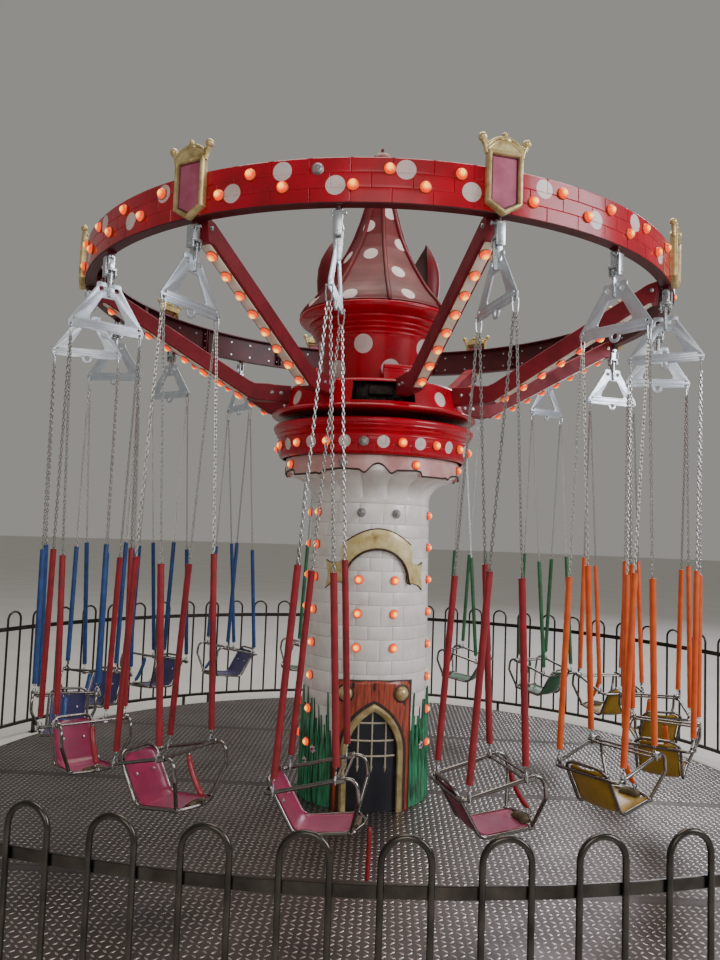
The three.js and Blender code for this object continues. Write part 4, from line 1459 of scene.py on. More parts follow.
def board_cream():
    """Cream painted sheet that carries the lamps, warm, dusty and slightly glossy; painted paler than its
    own cream as painted light, for the lamps' glow on its downward face.
    """
    return clouded("board_cream", {"Roughness": 0.4}, "#d8c8b4", "#f2e7d8", 60, detail=4.0)


def bright_zinc():
    """Bright zinc plating: bluish silver, crystalline in small patches, with soft reflections."""
    return clouded("bright_zinc", {"Metallic": 0.9}, "#b2b8bc", "#ced3d6", 18, detail=4.0,
                   roughness=0.6, dulls=(0.32, 0.24))


def beam_section(half, low, high, lean):
    """A box section with bevelled edges; lean sets it outwards by that share of its height."""
    edge = 0.004
    flat = [(-half, low + edge), (-half, high - edge), (-half + edge, high), (half - edge, high),
            (half, high - edge), (half, low + edge), (half - edge, low), (-half + edge, low)]
    return [(lean * (height - low), across, height) for across, height in flat]


def arm():
    form = Form()
    level_top = LEVEL_FOOT + ARM_DEPTH
    stations = [(ARM_INNER, LEVEL_FOOT, level_top), (0.690, LEVEL_FOOT, level_top),
                (0.725, LEVEL_FOOT, level_top + 0.004),
                (0.810, LEVEL_FOOT, arm_foot(0.810) + ARM_DEPTH + 0.008)]
    stations += [(radius, arm_foot(radius), arm_foot(radius) + ARM_DEPTH)
                 for radius in (0.850, 0.880, 1.2, 1.6, ARM_OUTER - 0.060)]
    rows = [[(radius, y, z) for _, y, z in beam_section(ARM_HALF_WIDTH, low, high, 0)]
            for radius, low, high in stations]
    tip_low, tip_high = arm_foot(ARM_OUTER - 0.060), arm_foot(ARM_OUTER - 0.07) + ARM_DEPTH + 0.02
    rows.append([(ARM_OUTER - 0.020 + out, y, z)
                 for out, y, z in beam_section(ARM_HALF_WIDTH, tip_low, tip_high, 0.15)])
    form.take(*grid(rows, around=True, capped=True))
    for side in (-1, 1):
        for radius in (0.640, 0.700, 1.765):
            height = (LEVEL_FOOT if radius < ARM_KNEE else arm_foot(radius)) + ARM_BOLT_HEIGHT
            place = Matrix.Translation((radius, side * ARM_HALF_WIDTH, height))
            place = place @ Matrix.Rotation(-side * math.pi / 2, 4, "X")
            form.take(*turned(ARM_BOLT, 6), place=place, paint=1)
    return form


def sloping(radius, lift=0.0):
    """A place under an arm at the lamp board, its Z pointing out of the board, downwards."""
    tilt = math.atan(ARM_SLOPE)
    place = Matrix.Translation((radius, 0, arm_foot(radius)))
    return place @ Matrix.Rotation(math.pi - tilt, 4, "Y") @ Matrix.Translation((0, 0, lift))


def lamp_board():
    form = Form()
    middle = (BOARD_FROM + BOARD_TO) / 2
    long = (BOARD_TO - BOARD_FROM) * math.hypot(1, ARM_SLOPE)
    form.take(*block((long, 2 * BOARD_HALF_WIDTH, BOARD_THICKNESS), 0.0015), place=sloping(middle, 0.005))
    return form


def arm_lamps():
    form = Form()
    for number in range(ARM_LAMPS):
        lamp(form, sloping(ARM_LAMP_START + ARM_LAMP_STEP * number, 0.009), ARM_LAMP_RADIUS)
    return form


BEAM_PAINT = beam_paint()
BOARD_CREAM = board_cream()
BRIGHT_ZINC = bright_zinc()
for number in range(1, ARMS + 1):
    turn = outwards(ROTOR_PHASE + (number - 1) * 360 / ARMS)
    beam, board, lamps = arm(), lamp_board(), arm_lamps()
    for form in (beam, board, lamps):
        form.turn(turn)
    piece(f"arm_beam_{number}", beam, "rotor", [BEAM_PAINT, BRIGHT_ZINC], smooth=25,
          replaced=f"arm_{number}")
    piece(f"arm_lamp_board_{number}", board, "rotor", [BOARD_CREAM], smooth=25)
    lamp_piece(f"arm_lamps_{number}", lamps, "rotor")

# Rim
# A ring of red moulded segments bolted together at sixteen joints: three courses of bricks outside,
# a hollow back with flanges inside, dark with painted shade, white dots and two rows of amber lamps over
# the bricks.
RIM_RADIUS = 1.865
RIM_DEPTH = 0.060
RIM_LOW, RIM_HIGH = 3.214, 3.420
RIM_COURSES = 3
RIM_BRICKS = 64
RIM_FIRST_SEAM = -1.1
RIM_SKIN = 0.012
UPPER_ROW, LOWER_ROW = 3.367, 3.293
RIM_LAMP_RADIUS = 0.028
RIM_LAMP_PITCH = 4.88
RIM_DOT_RADIUS = 0.0445
FRONT_BAY, RIGHT_BAY, LEFT_BAY = -36.4, 8.6, -81.4
BAY_DOTS = {FRONT_BAY: ((6.9, 0), (14.5, 1), (22.0, 0), (31.5, 1), (40.6, 0)),
            RIGHT_BAY: ((6.7, 1), (16.4, 0), (26.2, 1), (36.0, 0)),
            LEFT_BAY: ((12.0, 0), (21.6, 1), (31.1, 0), (39.2, 1))}
OTHER_DOTS = (((7.5, 0), (17.0, 1), (27.0, 0), (37.5, 1)), ((8.0, 1), (18.0, 0), (28.5, 1), (38.0, 0)))
DEAD_LAMP = (FRONT_BAY, 4)
BOLTED_JOINTS = 16
JOINT_BOLT = [(0.009, 0), (0.009, 0.0015), (0.0065, 0.002), (0.0065, 0.007), (0.001, 0.0075)]
SKIN_BOLT = [(0.009, 0), (0.009, 0.0015), (0.006, 0.002), (0.006, 0.006), (0.001, 0.0065)]
JOINT_START, SKIN_BOLT_START = 11.25, 2.8
JOINT_HALF_TURN = 0.35
JOINT_BOLT_RISES = (0.045, 0.103, 0.161)
SKIN_BOLTS = 64
SKIN_BOLT_RISE = 0.050
FLANGE = 0.009


def rim_rows():
    """Heights of the skin's rows: seven to a course, and three round each bed joint."""
    course = (RIM_HIGH - RIM_LOW) / RIM_COURSES
    heights = [RIM_LOW + 0.004, RIM_HIGH - 0.004]
    for number in range(RIM_COURSES):
        low = RIM_LOW + number * course
        heights += [low + course * share for share in (0.08, 0.22, 0.36, 0.5, 0.64, 0.78, 0.92)]
        if number:
            heights += [low - 0.003, low, low + 0.003]
    return sorted(heights)


def rim_dent(angle, height):
    course = (RIM_HIGH - RIM_LOW) / RIM_COURSES
    pitch = 360 / RIM_BRICKS
    odd = int((height - RIM_LOW) / course) % 2
    aside = from_seam(angle, RIM_FIRST_SEAM - odd * pitch / 2, pitch, RIM_RADIUS)
    from_bed = min(abs(height - RIM_LOW - course), abs(height - RIM_LOW - 2 * course))
    return max(groove(aside, 0.0031, 0.0028), groove(from_bed, 0.0031, 0.0028))


def rim_skin():
    form = Form()
    angles = seam_angles(RIM_BRICKS, RIM_FIRST_SEAM, RIM_RADIUS)
    rows = [[at(a, RIM_RADIUS - 0.0005 - rim_dent(a, h), h) for a in angles] for h in rim_rows()]
    upper = [[at(a, RIM_RADIUS - inset, RIM_HIGH) for a in angles] for inset in (0.0035, 0.012)]
    form.take(*grid(rows + upper, around=True))
    return form


def rim_joint(form, angle):
    """Two plates inside the rim, bolted together with three washered bolt heads on each face."""
    plate = (0.044, 0.007, RIM_HIGH - RIM_LOW - 2 * FLANGE)
    middle = RIM_RADIUS - RIM_DEPTH + 0.024
    for side in (-1, 1):
        centre = (middle, 0, (RIM_LOW + RIM_HIGH) / 2)
        form.take(*block(plate, 0.0015, centre), place=outwards(angle + side * JOINT_HALF_TURN))
    for rise in JOINT_BOLT_RISES:
        for face in (-1, 1):
            place = outwards(angle + JOINT_HALF_TURN * face)
            place = place @ Matrix.Translation((middle, face * 0.0035, RIM_LOW + rise))
            place = place @ Matrix.Rotation(-face * math.pi / 2, 4, "X")
            form.take(*turned(JOINT_BOLT, 6), place=place, paint=1)


def rim_back():
    """The hollow back: a lower and an upper flange, the bolted joints, and bolts into the skin."""
    form = Form()
    outer, inner = RIM_RADIUS - 0.0015, RIM_RADIUS - RIM_DEPTH
    section = [(outer, RIM_LOW + 0.006), (outer - 0.004, RIM_LOW), (inner, RIM_LOW),
               (inner, RIM_LOW + FLANGE), (outer - RIM_SKIN, RIM_LOW + FLANGE),
               (outer - RIM_SKIN, RIM_HIGH - FLANGE), (inner, RIM_HIGH - FLANGE),
               (inner, RIM_HIGH - 0.0005), (outer - 0.010, RIM_HIGH - 0.0005)]
    form.take(*turned(section, 192, capped=False))
    for number in range(BOLTED_JOINTS):
        rim_joint(form, ROTOR_PHASE + JOINT_START + number * 360 / BOLTED_JOINTS)
    for number in range(SKIN_BOLTS):
        angle = ROTOR_PHASE + SKIN_BOLT_START + number * 360 / SKIN_BOLTS
        for height in (RIM_LOW + SKIN_BOLT_RISE, RIM_HIGH - SKIN_BOLT_RISE):
            place = outwards(angle) @ Matrix.Translation((outer - RIM_SKIN, 0, height))
            place = place @ Matrix.Rotation(-math.pi / 2, 4, "Y")
            form.take(*turned(SKIN_BOLT, 6), place=place, paint=1)
    return form


def bay_dots(start):
    number = round((start - ROTOR_PHASE) / 45)
    return BAY_DOTS.get(start, OTHER_DOTS[number % 2])


def bays():
    return [round(LEFT_BAY + 45 * number, 1) for number in range(ARMS)]


def rim_lamps():
    form = Form()
    for start in bays():
        for number in range(1, 9):
            height = UPPER_ROW if number % 2 == 0 else LOWER_ROW
            place = facing_out(start + RIM_LAMP_PITCH * number, RIM_RADIUS - 0.001, height)
            lamp(form, place, RIM_LAMP_RADIUS, dead=(start, number) == DEAD_LAMP)
    return form


rim_dots = [(at(start + along, RIM_RADIUS, UPPER_ROW if upper else LOWER_ROW), RIM_DOT_RADIUS)
            for start in bays() for along, upper in bay_dots(start)]
dotted_piece("rim_brick_skin", rim_skin(), "rotor", [RED_GELCOAT], rim_dots, smooth=30, replaced="rim")
# The rim's back, flanges and joint plates take the dark shadow red: painted shade.
piece("rim_back_and_flanges", rim_back(), "rotor", [RED_SHADOW, BRIGHT_ZINC], smooth=30,
      closed=False)
lamp_piece("rim_lamps", rim_lamps(), "rotor")

# Crests
# Eight shields in gold frames on the rim over the arms: a rounded gold moulding round a sunk pink
# panel, with an arched pediment, scroll necks with balls at its corners, and a stepped finial.
CREST_BACK = 1.862
CREST_FRONT = 1.902
CREST_MIDDLE = (CREST_BACK + CREST_FRONT) / 2
CREST_HALF = 0.084
CREST_TOP, CREST_SHOULDER, CREST_TIP = 3.486, 3.250, 3.200


def crest_pink():
    """Rose-pink panel paint with a soft sheen, darker and redder towards its edges."""
    return clouded("crest_pink", {"Roughness": 0.42}, "#9c4660", "#b9627c", 70, detail=4.0)


def crest_shade():
    """The dark wine-red inner edge round the panel: painted shade in its sunk step, half gloss and
    streaked.
    """
    return clouded("crest_shade", {"Roughness": 0.4}, "#4e1626", "#6e2638", 25)


def shield(inset):
    """The shield's outline, anticlockwise from its tip, moved inwards."""
    half = CREST_HALF - inset
    return [(0, CREST_TIP + inset * 1.2), (half, CREST_SHOULDER + inset * 0.5), (half, CREST_TOP - inset),
            (-half, CREST_TOP - inset), (-half, CREST_SHOULDER + inset * 0.5)]


def crest_layer(form, levels, paint):
    """Joins outlines of the shield at several insets and depths into one stepped surface."""
    rows = [[(front, across, up) for across, up in shield(inset)] for inset, front in levels]
    form.take(*grid(rows, around=True), paint=paint)


def crest():
    form = Form()
    crest_layer(form, [(0.0, CREST_BACK), (-0.004, CREST_FRONT - 0.018), (-0.003, CREST_FRONT - 0.008),
                       (0.003, CREST_FRONT - 0.001), (0.010, CREST_FRONT), (0.016, CREST_FRONT - 0.004),
                       (0.019, CREST_FRONT - 0.013)], 0)
    crest_layer(form, [(0.019, CREST_FRONT - 0.013), (0.023, CREST_FRONT - 0.017),
                       (0.027, CREST_FRONT - 0.016)], 2)
    panel = [(CREST_FRONT - 0.016, across, up) for across, up in shield(0.027)]
    form.take(panel, [[0, 1, 2, 3, 4]], paint=1)
    return form


def pediment(form):
    """The shell under the brow line, and two arched beads over it."""
    brow = ((-0.086, 3.486), (-0.066, 3.505), (-0.034, 3.519), (0.0, 3.525), (0.034, 3.519),
            (0.066, 3.505), (0.086, 3.486))
    fill = [[(CREST_MIDDLE - 0.004 + 0.016 * side, across, up) for across, up in brow] for side in (-1, 1)]
    form.take(*grid(fill))
    for face in fill:
        form.take(face, [[*range(len(brow))]])
    for lift, thick in ((0.0, 0.010), (0.019, 0.007)):
        arch = [(CREST_MIDDLE + 0.006, 0.095 * math.sin(math.radians(t)),
                 3.448 + lift + 0.082 * math.cos(math.radians(t))) for t in range(-66, 67, 11)]
        form.take(*tube(arch, thick, 10))


def crest_head():
    """The gold pediment with necks and balls at its corners, and the finial."""
    form = Form()
    pediment(form)
    for side in (-1, 1):
        neck_line = ((0.084, 3.470), (0.090, 3.492), (0.095, 3.510), (0.105, 3.526))
        form.take(*tube([(CREST_MIDDLE, side * across, up) for across, up in neck_line], 0.012, 10))
        form.take(*ball(0.020, (CREST_MIDDLE, side * 0.108, 3.541)))
        form.take(*ball(0.011, (CREST_MIDDLE, side * 0.088, 3.518)))
    steps = [(0.032, 3.534), (0.034, 3.542), (0.024, 3.546), (0.022, 3.555), (0.013, 3.558),
             (0.010, 3.562)]
    place = Matrix.Translation((CREST_MIDDLE, 0, 0)) @ Matrix.Diagonal((0.55, 1, 1, 1))
    form.take(*turned(steps, 20), place=place)
    form.take(*ball(0.012, (CREST_MIDDLE, 0, 3.566)))
    return form


def ball(radius, centre):
    """A round ball of rings from its lowest to its highest point."""
    profile = [(radius * math.cos(math.radians(t)) + 0.0002, radius * math.sin(math.radians(t)))
               for t in range(-90, 91, 18)]
    points, faces = turned(profile, 16)
    return [point + Vector(centre) for point in points], faces


crests = Form()
heads = Form()
for number in range(ARMS):
    turn = outwards(ROTOR_PHASE + number * 360 / ARMS)
    crests.join(crest(), turn)
    heads.join(crest_head(), turn)
piece("rim_crest_shields", crests, "rotor", [GOLD_PAINT, crest_pink(), crest_shade()],
      smooth=35, closed=False)
piece("rim_crest_heads", heads, "rotor", [GOLD_PAINT], smooth=50, closed=False)

# Hangers
# Each swing hangs on a pin through a red lug under the rim: a forked bracket, a second pin across
# it, a flat bar, and a zinc-plated spreader plate cut from sheet with a window and holes.
SWINGS = 16
SWING_PHASE = -13.9
HANG_RADIUS = 1.832
HANG_PLACE = Matrix.Translation((HANG_RADIUS, 0, 0))
QUARTER_TURN = Matrix.Rotation(math.pi / 2, 4, "Z")
PIN_HEIGHT = 3.181
CROSS_PIN_HEIGHT = 3.092
PIN_RADIUS = 0.007
LUG_HALF = 0.008
EAR_HALF = 0.003
EAR_PLACE = LUG_HALF + 0.002 + EAR_HALF
LUG_TOP = 3.2142
PLATE_TOP, PLATE_FOOT = 3.044, 2.779
PLATE_THICKNESS = 0.008
CORNER_HOLE = (0.183, 2.797)
EYE_HEIGHT = PLATE_FOOT - 0.004


def rounded(points, radius, steps=6, closed=False):
    """A path whose corners are rounded to a radius, or as far as its legs allow."""
    path = [Vector(point) for point in points]
    made = []
    for index, point in enumerate(path):
        if not closed and index in (0, len(path) - 1):
            made.append(point)
            continue
        back = path[index - 1] - point
        ahead = path[(index + 1) % len(path)] - point
        half = back.angle(ahead) / 2
        size = radius[index] if isinstance(radius, (list, tuple)) else radius
        reach = min(size / math.tan(half), 0.49 * back.length, 0.49 * ahead.length)
        middle = point + (back.normalized() + ahead.normalized()).normalized() * (reach / math.cos(half))
        first = point + back.normalized() * reach - middle
        last = point + ahead.normalized() * reach - middle
        made += [middle + first.normalized().slerp(last.normalized(), step / steps) * first.length
                 for step in range(steps + 1)]
    return made


def circle(across, up, radius, steps=16):
    return [(across + radius * math.cos(2 * math.pi * k / steps),
             up + radius * math.sin(2 * math.pi * k / steps)) for k in range(steps)]


def cut_plate(outline, holes, thickness, edge):
    """A plate cut from sheet with softened edges, drawn in the upright plane that faces Y."""
    curve = bpy.data.curves.new("cut_plate", "CURVE")
    curve.dimensions = "2D"
    curve.fill_mode = "BOTH"
    curve.extrude = thickness / 2 - edge
    curve.bevel_depth = edge
    curve.bevel_resolution = 1
    curve.offset = -edge
    for loop in (outline, *holes):
        spline = curve.splines.new("POLY")
        spline.points.add(len(loop) - 1)
        for point, place in zip(spline.points, loop):
            point.co = (place[0], place[1], 0, 1)
        spline.use_cyclic_u = True
    holder = bpy.data.objects.new("cut_plate", curve)
    mesh = bpy.data.meshes.new_from_object(holder)
    shape = bmesh.new()
    shape.from_mesh(mesh)
    bmesh.ops.remove_doubles(shape, verts=shape.verts, dist=1e-5)
    shape.verts.index_update()
    points = [Vector((v.co.x, -v.co.z, v.co.y)) for v in shape.verts]
    faces = [[v.index for v in face.verts] for face in shape.faces]
    shape.free()
    bpy.data.objects.remove(holder)
    bpy.data.curves.remove(curve)
    bpy.data.meshes.remove(mesh)
    return points, faces


def pin(form, start, end, radius, place=None, paint=0):
    """A round pin with bevelled ends, and near its end a bent cotter."""
    start, end = Vector(start), Vector(end)
    turn = Matrix.Translation(start) @ (end - start).to_track_quat("Z", "Y").to_matrix().to_4x4()
    turn = place @ turn if place else turn
    long = (end - start).length
    edge = radius * 0.2
    profile = [(radius * 1.5, 0), (radius * 1.5, radius * 0.7), (radius, radius * 0.8),
               (radius, long - edge), (radius - edge, long)]
    form.take(*turned(profile, 14), place=turn, paint=paint)
    cotter = [(-1.7 * radius, 0.002, long - 0.006), (1.4 * radius, 0.0, long - 0.006),
              (2.1 * radius, -0.3 * radius, long - 0.004)]
    form.take(*tube(cotter, 0.0014, 6), place=turn, paint=paint)


def lugs():
    form = Form()
    foot = PIN_HEIGHT - 0.018
    outline = rounded([(-0.018, LUG_TOP, 0), (-0.018, foot, 0), (0.018, foot, 0), (0.018, LUG_TOP, 0)],
                      0.012)
    for number in range(SWINGS):
        place = outwards(SWING_PHASE + number * 360 / SWINGS) @ HANG_PLACE
        form.take(*cut_plate(outline, [], 2 * LUG_HALF, 0.0015), place=place)
        form.take(*block((0.052, 0.034, 0.006), 0.002, (0, 0, RIM_LOW - 0.0025)), place=place)
        pin(form, (0, -0.034, PIN_HEIGHT), (0, 0.034, PIN_HEIGHT), PIN_RADIUS, place, paint=1)
    return form


def pin_bracket(form):
    """Two ears with holes for the pin, the block that joins them, and a plate on the outer side."""
    hole = circle(0, PIN_HEIGHT, PIN_RADIUS + 0.0006)
    ear = rounded([(-0.018, 3.118, 0), (0.020, 3.118, 0), (0.020, 3.197, 0), (-0.018, 3.197, 0)],
                  [0.001, 0.001, 0.0165, 0.0165], closed=True)
    for side in (-1, 1):
        aside = HANG_PLACE @ Matrix.Translation((0, side * EAR_PLACE, 0))
        form.take(*cut_plate(ear, [hole], 2 * EAR_HALF, 0.001), place=aside)
    form.take(*block((0.060, 0.044, 0.016), 0.002, (0, 0, 3.117)), place=HANG_PLACE)
    form.take(*block((0.004, 0.042, 0.108), 0.0015, (0.031, 0, 3.127)), place=HANG_PLACE)


def cross_bracket(form):
    """Two cheeks under the block and the lower pin through them."""
    cheek = rounded([(-0.020, 3.112, 0), (0.020, 3.112, 0), (0.020, 3.070, 0), (-0.020, 3.070, 0)],
                    [0.001, 0.001, 0.016, 0.016], closed=True)
    for side in (-1, 1):
        turn = HANG_PLACE @ Matrix.Translation((side * 0.024, 0, 0)) @ QUARTER_TURN
        form.take(*cut_plate(cheek, [circle(0, CROSS_PIN_HEIGHT, 0.0056)], 0.006, 0.001), place=turn)
    pin(form, (-0.036, 0, CROSS_PIN_HEIGHT), (0.038, 0, CROSS_PIN_HEIGHT), 0.005, HANG_PLACE)


def hanger():
    """The two brackets, the flat bar below them, and a washer on each side of the bar."""
    form = Form()
    pin_bracket(form)
    cross_bracket(form)
    bar = rounded([(-0.022, 3.106, 0), (0.022, 3.106, 0), (0.022, 3.035, 0), (0.0165, 2.966, 0),
                   (-0.0165, 2.966, 0), (-0.022, 3.035, 0)], [0.014, 0.014, 0.01, 0.008, 0.008, 0.01],
                  closed=True)
    form.take(*cut_plate(bar, [], 0.012, 0.0015), place=HANG_PLACE @ QUARTER_TURN)
    washer = [(0.011, 0), (0.011, 0.008), (0.009, 0.0095), (0.001, 0.0095)]
    for side in (-1, 1):
        spot = HANG_PLACE @ Matrix.Translation((side * 0.0065, 0, CROSS_PIN_HEIGHT))
        form.take(*turned(washer, 16), place=spot @ Matrix.Rotation(side * math.pi / 2, 4, "Y"))
    return form


def spreader():
    """The plate with two round lobes at its top, rounded corners, and a lug at its middle below."""
    form = Form()
    left = [(-0.196, PLATE_FOOT), (-0.203, PLATE_FOOT + 0.034), (-0.066, 3.018), (-0.066, PLATE_TOP),
            (-0.012, PLATE_TOP), (-0.008, 3.020)]
    corners = left + [(-x, z) for x, z in left[::-1]]
    radii = [0.006, 0.012, 0.026, 0.030, 0.030, 0.004]
    shape = rounded([(x, z, 0) for x, z in corners], radii + radii[::-1], closed=True)
    outline = [(p.x, p.y) for p in shape] + arc((0, EYE_HEIGHT), 0.031, 7, -187, 16)
    window = rounded([(-0.105, PLATE_FOOT + 0.056, 0), (0.105, PLATE_FOOT + 0.056, 0),
                      (0.034, PLATE_TOP - 0.085, 0), (-0.034, PLATE_TOP - 0.085, 0)], 0.013, closed=True)
    holes = [[(p.x, p.y) for p in window], circle(0, EYE_HEIGHT, 0.015)]
    for side in (-1, 1):
        holes.append(circle(side * 0.041, 3.008, 0.013))
        holes.append(circle(side * CORNER_HOLE[0], CORNER_HOLE[1], 0.0048))
        holes.append(circle(side * 0.172, 2.823, 0.0065))
    form.take(*cut_plate(outline, holes, PLATE_THICKNESS, 0.0012), place=HANG_PLACE)
    return form


def spreader_zinc():
    """Bluish white zinc plating on sheet steel: satin, softly clouded, brighter than the bars."""
    return clouded("spreader_zinc", {"Metallic": 0.85}, "#c3ccd6", "#d6dee6", 60, detail=5.0,
                   roughness=0.6, dulls=(0.42, 0.34))


def swings_of(group):
    """The four swings in a row that share a colour, counted from 0."""
    return [(4 * group - 2 + k) % SWINGS for k in range(4)]


def share_out(name, form, materials, numbers, smooth=32, replaced=None, closed=False):
    """Makes one form into a piece on each of the numbered swings; they share their mesh."""
    mesh = None
    for number in numbers:
        turn = outwards(SWING_PHASE + number * 360 / SWINGS)
        swing = f"{number + 1:02d}"
        node = f"{replaced}_{swing}" if replaced else None
        if mesh:
            place_mesh(f"{name}_{swing}", mesh, f"swing_{swing}", turn, node)
        else:
            mesh = piece(f"{name}_{swing}", form, f"swing_{swing}", materials, smooth=smooth,
                         closed=closed, place=turn, replaced=node).data


# The lugs and the blocks under the rim take the dark shadow red as painted shade; their pins are zinc.
piece("rim_lugs_and_pins", lugs(), "rotor", [RED_SHADOW, BRIGHT_ZINC], smooth=30,
      closed=False)
share_out("swing_bracket", hanger(), [BRIGHT_ZINC], range(SWINGS), replaced="suspension")
share_out("swing_spreader", spreader(), [spreader_zinc()], range(SWINGS))

# Chains
# Two long shackles in the spreader's corners carry four straight chains of welded links. At their
# feet delta links hold the chair's arms. Inside the sleeves a chain is drawn as a plain rod.
ARM_SPREAD = 0.170
REAR_CHAIN, FRONT_CHAIN = -0.150, 0.100
ARM_REAR = (-0.187, 0.723)
ARM_FRONT = (0.125, 0.801)
FRAME_TUBE_RADIUS = 0.0085
LINK_PITCH = 0.019
LINK_WIRE = 0.0025
LINK_END_RADIUS = 0.0054
LINK_HALF_STRAIGHT = 0.0066
SHACKLE_FOOT = 2.727
DELTA_TOP = 0.046
SLEEVE_RADIUS = 0.015
SLEEVE_TOPS = {(-1, REAR_CHAIN): 1.600, (-1, FRONT_CHAIN): 1.655, (1, REAR_CHAIN): 1.640,
               (1, FRONT_CHAIN): 1.615}


def arm_height(forward):
    slope = (ARM_FRONT[1] - ARM_REAR[1]) / (ARM_FRONT[0] - ARM_REAR[0])
    return ARM_REAR[1] + slope * (forward - ARM_REAR[0])


def strand(side, forward):
    """The upper and lower end of one chain's middle line."""
    off_middle = 0.006 if forward > 0 else -0.006
    top = Vector((HANG_RADIUS + side * CORNER_HOLE[0], off_middle, SHACKLE_FOOT - 0.001))
    foot = Vector((HANG_RADIUS + side * ARM_SPREAD, forward, arm_height(forward) + DELTA_TOP))
    return top, foot


def strands():
    return [(side, forward) for side in (-1, 1) for forward in (REAR_CHAIN, FRONT_CHAIN)]


def link():
    """One link, its long axis along Z."""
    ends = arc((0, 0), LINK_END_RADIUS, 0, 180, 4)
    path = [(across, 0, up + LINK_HALF_STRAIGHT) for across, up in ends]
    path += [(-across, 0, -up - LINK_HALF_STRAIGHT) for across, up in ends]
    return tube(path, LINK_WIRE, 4, closed=True)


def along(start, end):
    """A place at the start whose Z runs to the end."""
    turn = (end - start).to_track_quat("Z", "Y").to_matrix().to_4x4()
    return Matrix.Translation(start) @ turn


def chains():
    form = Form()
    points, faces = link()
    for side, forward in strands():
        top, foot = strand(side, forward)
        place = along(foot, top)
        long = (top - foot).length
        count = round(long / LINK_PITCH)
        pitch = long / count
        sleeve_end = SLEEVE_TOPS[side, forward]
        hidden_from, hidden_to = 3, int((sleeve_end - foot.z) / (top.z - foot.z) * count) - 1
        for number in range(count):
            if hidden_from < number < hidden_to:
                continue
            spot = Matrix.Translation((0, 0, (number + 0.5) * pitch))
            turn = spot @ Matrix.Rotation(number % 2 * math.pi / 2, 4, "Z")
            form.take(points, faces, place=place @ turn)
        low, high = (hidden_from + 0.5) * pitch, (hidden_to + 0.5) * pitch
        rod = [(0.0001, low - 0.005), (0.0045, low), (0.0045, high), (0.0001, high + 0.005)]
        form.take(*turned(rod, 6), place=place)
    return form


def shackles():
    form = Form()
    for side in (-1, 1):
        place = Matrix.Translation((HANG_RADIUS + side * CORNER_HOLE[0], 0, 0))
        height = CORNER_HOLE[1]
        path = rounded([(0, -0.0125, height), (0, -0.0145, height - 0.030), (0, -0.0105, SHACKLE_FOOT),
                        (0, 0.0105, SHACKLE_FOOT), (0, 0.0145, height - 0.030), (0, 0.0125, height)],
                       [0, 0.03, 0.009, 0.009, 0.03, 0])
        form.take(*tube(path, 0.0032, 8), place=place)
        knob = [(0.0062, 0), (0.0062, 0.0055), (0.005, 0.0068), (0.0005, 0.007)]
        for end in (-1, 1):
            spot = place @ Matrix.Translation((0, end * 0.0095, height))
            form.take(*turned(knob, 8), place=spot @ Matrix.Rotation(-end * math.pi / 2, 4, "X"))
        form.take(*tube([(0, -0.017, height), (0, 0.019, height)], 0.0038, 8), place=place)
    return form


def delta_links():
    """Three-sided links round the chair's arms, each with a screwed sleeve on one leg."""
    form = Form()
    for side, forward in strands():
        base = Vector((HANG_RADIUS + side * ARM_SPREAD, forward, arm_height(forward)))
        low = -FRAME_TUBE_RADIUS - 0.0045
        path = rounded([(-0.0165, 0, low), (0.0165, 0, low), (0, 0, DELTA_TOP + 0.004)],
                       [0.006, 0.006, 0.006], closed=True)
        form.take(*tube(path, 0.0028, 8, closed=True), place=Matrix.Translation(base))
        form.take(*tube([(0.0135, 0, 0.004), (0.0085, 0, 0.020)], 0.0048, 6),
                  place=Matrix.Translation(base))
    return form


def chain_steel():
    """Zinc-plated welded chain: duller grey than the plates, speckled, and darker in its bends."""
    return clouded("chain_steel", {"Metallic": 0.9}, "#8f8f8c", "#c6c5c1", 14, detail=4.0,
                   roughness=0.6, dulls=(0.42, 0.26))


CHAIN_STEEL = chain_steel()
fittings = shackles()
fittings.join(delta_links())
share_out("swing_chains", chains(), [CHAIN_STEEL], range(SWINGS), smooth=50)
share_out("swing_shackles", fittings, [BRIGHT_ZINC], range(SWINGS), smooth=40)

# Sleeves
# Soft plastic hoses over the lower halves of the chains, and the padded crotch strap of the same
# stuff from the lap bar to the seat's front, loose on the first swing. Four in a row share a colour.
SLEEVE_FOOT_GAP = 0.010
STRAP_RADIUS = 0.0145
LOOSE_STRAP = 0
LAP_BAR = 0.115
SLEEVE_COLOURS = (("red", "#7c0f1c", "#9c1624"), ("orange", "#c94812", "#e0641f"),
                  ("green", "#1f5232", "#2f6e46"), ("blue", "#15366a", "#214c8c"))


def hose(name, dark, light):
    """Soft PVC hose: satin, evenly coloured with slight clouding, faintly wrinkled crossways."""
    made, tree, shader = finish_of(name, {"Roughness": 0.38, "Coat Weight": 0.15})
    tree.links.new(ramp(tree, noise(tree, 70, 4.0), 0.3, 0.7, dark, light), shader.inputs["Base Color"])
    bumps(tree, shader, noise(tree, 16, stretch=(0.4, 0.4, 1.6)), 0.8, 0.4)
    return made


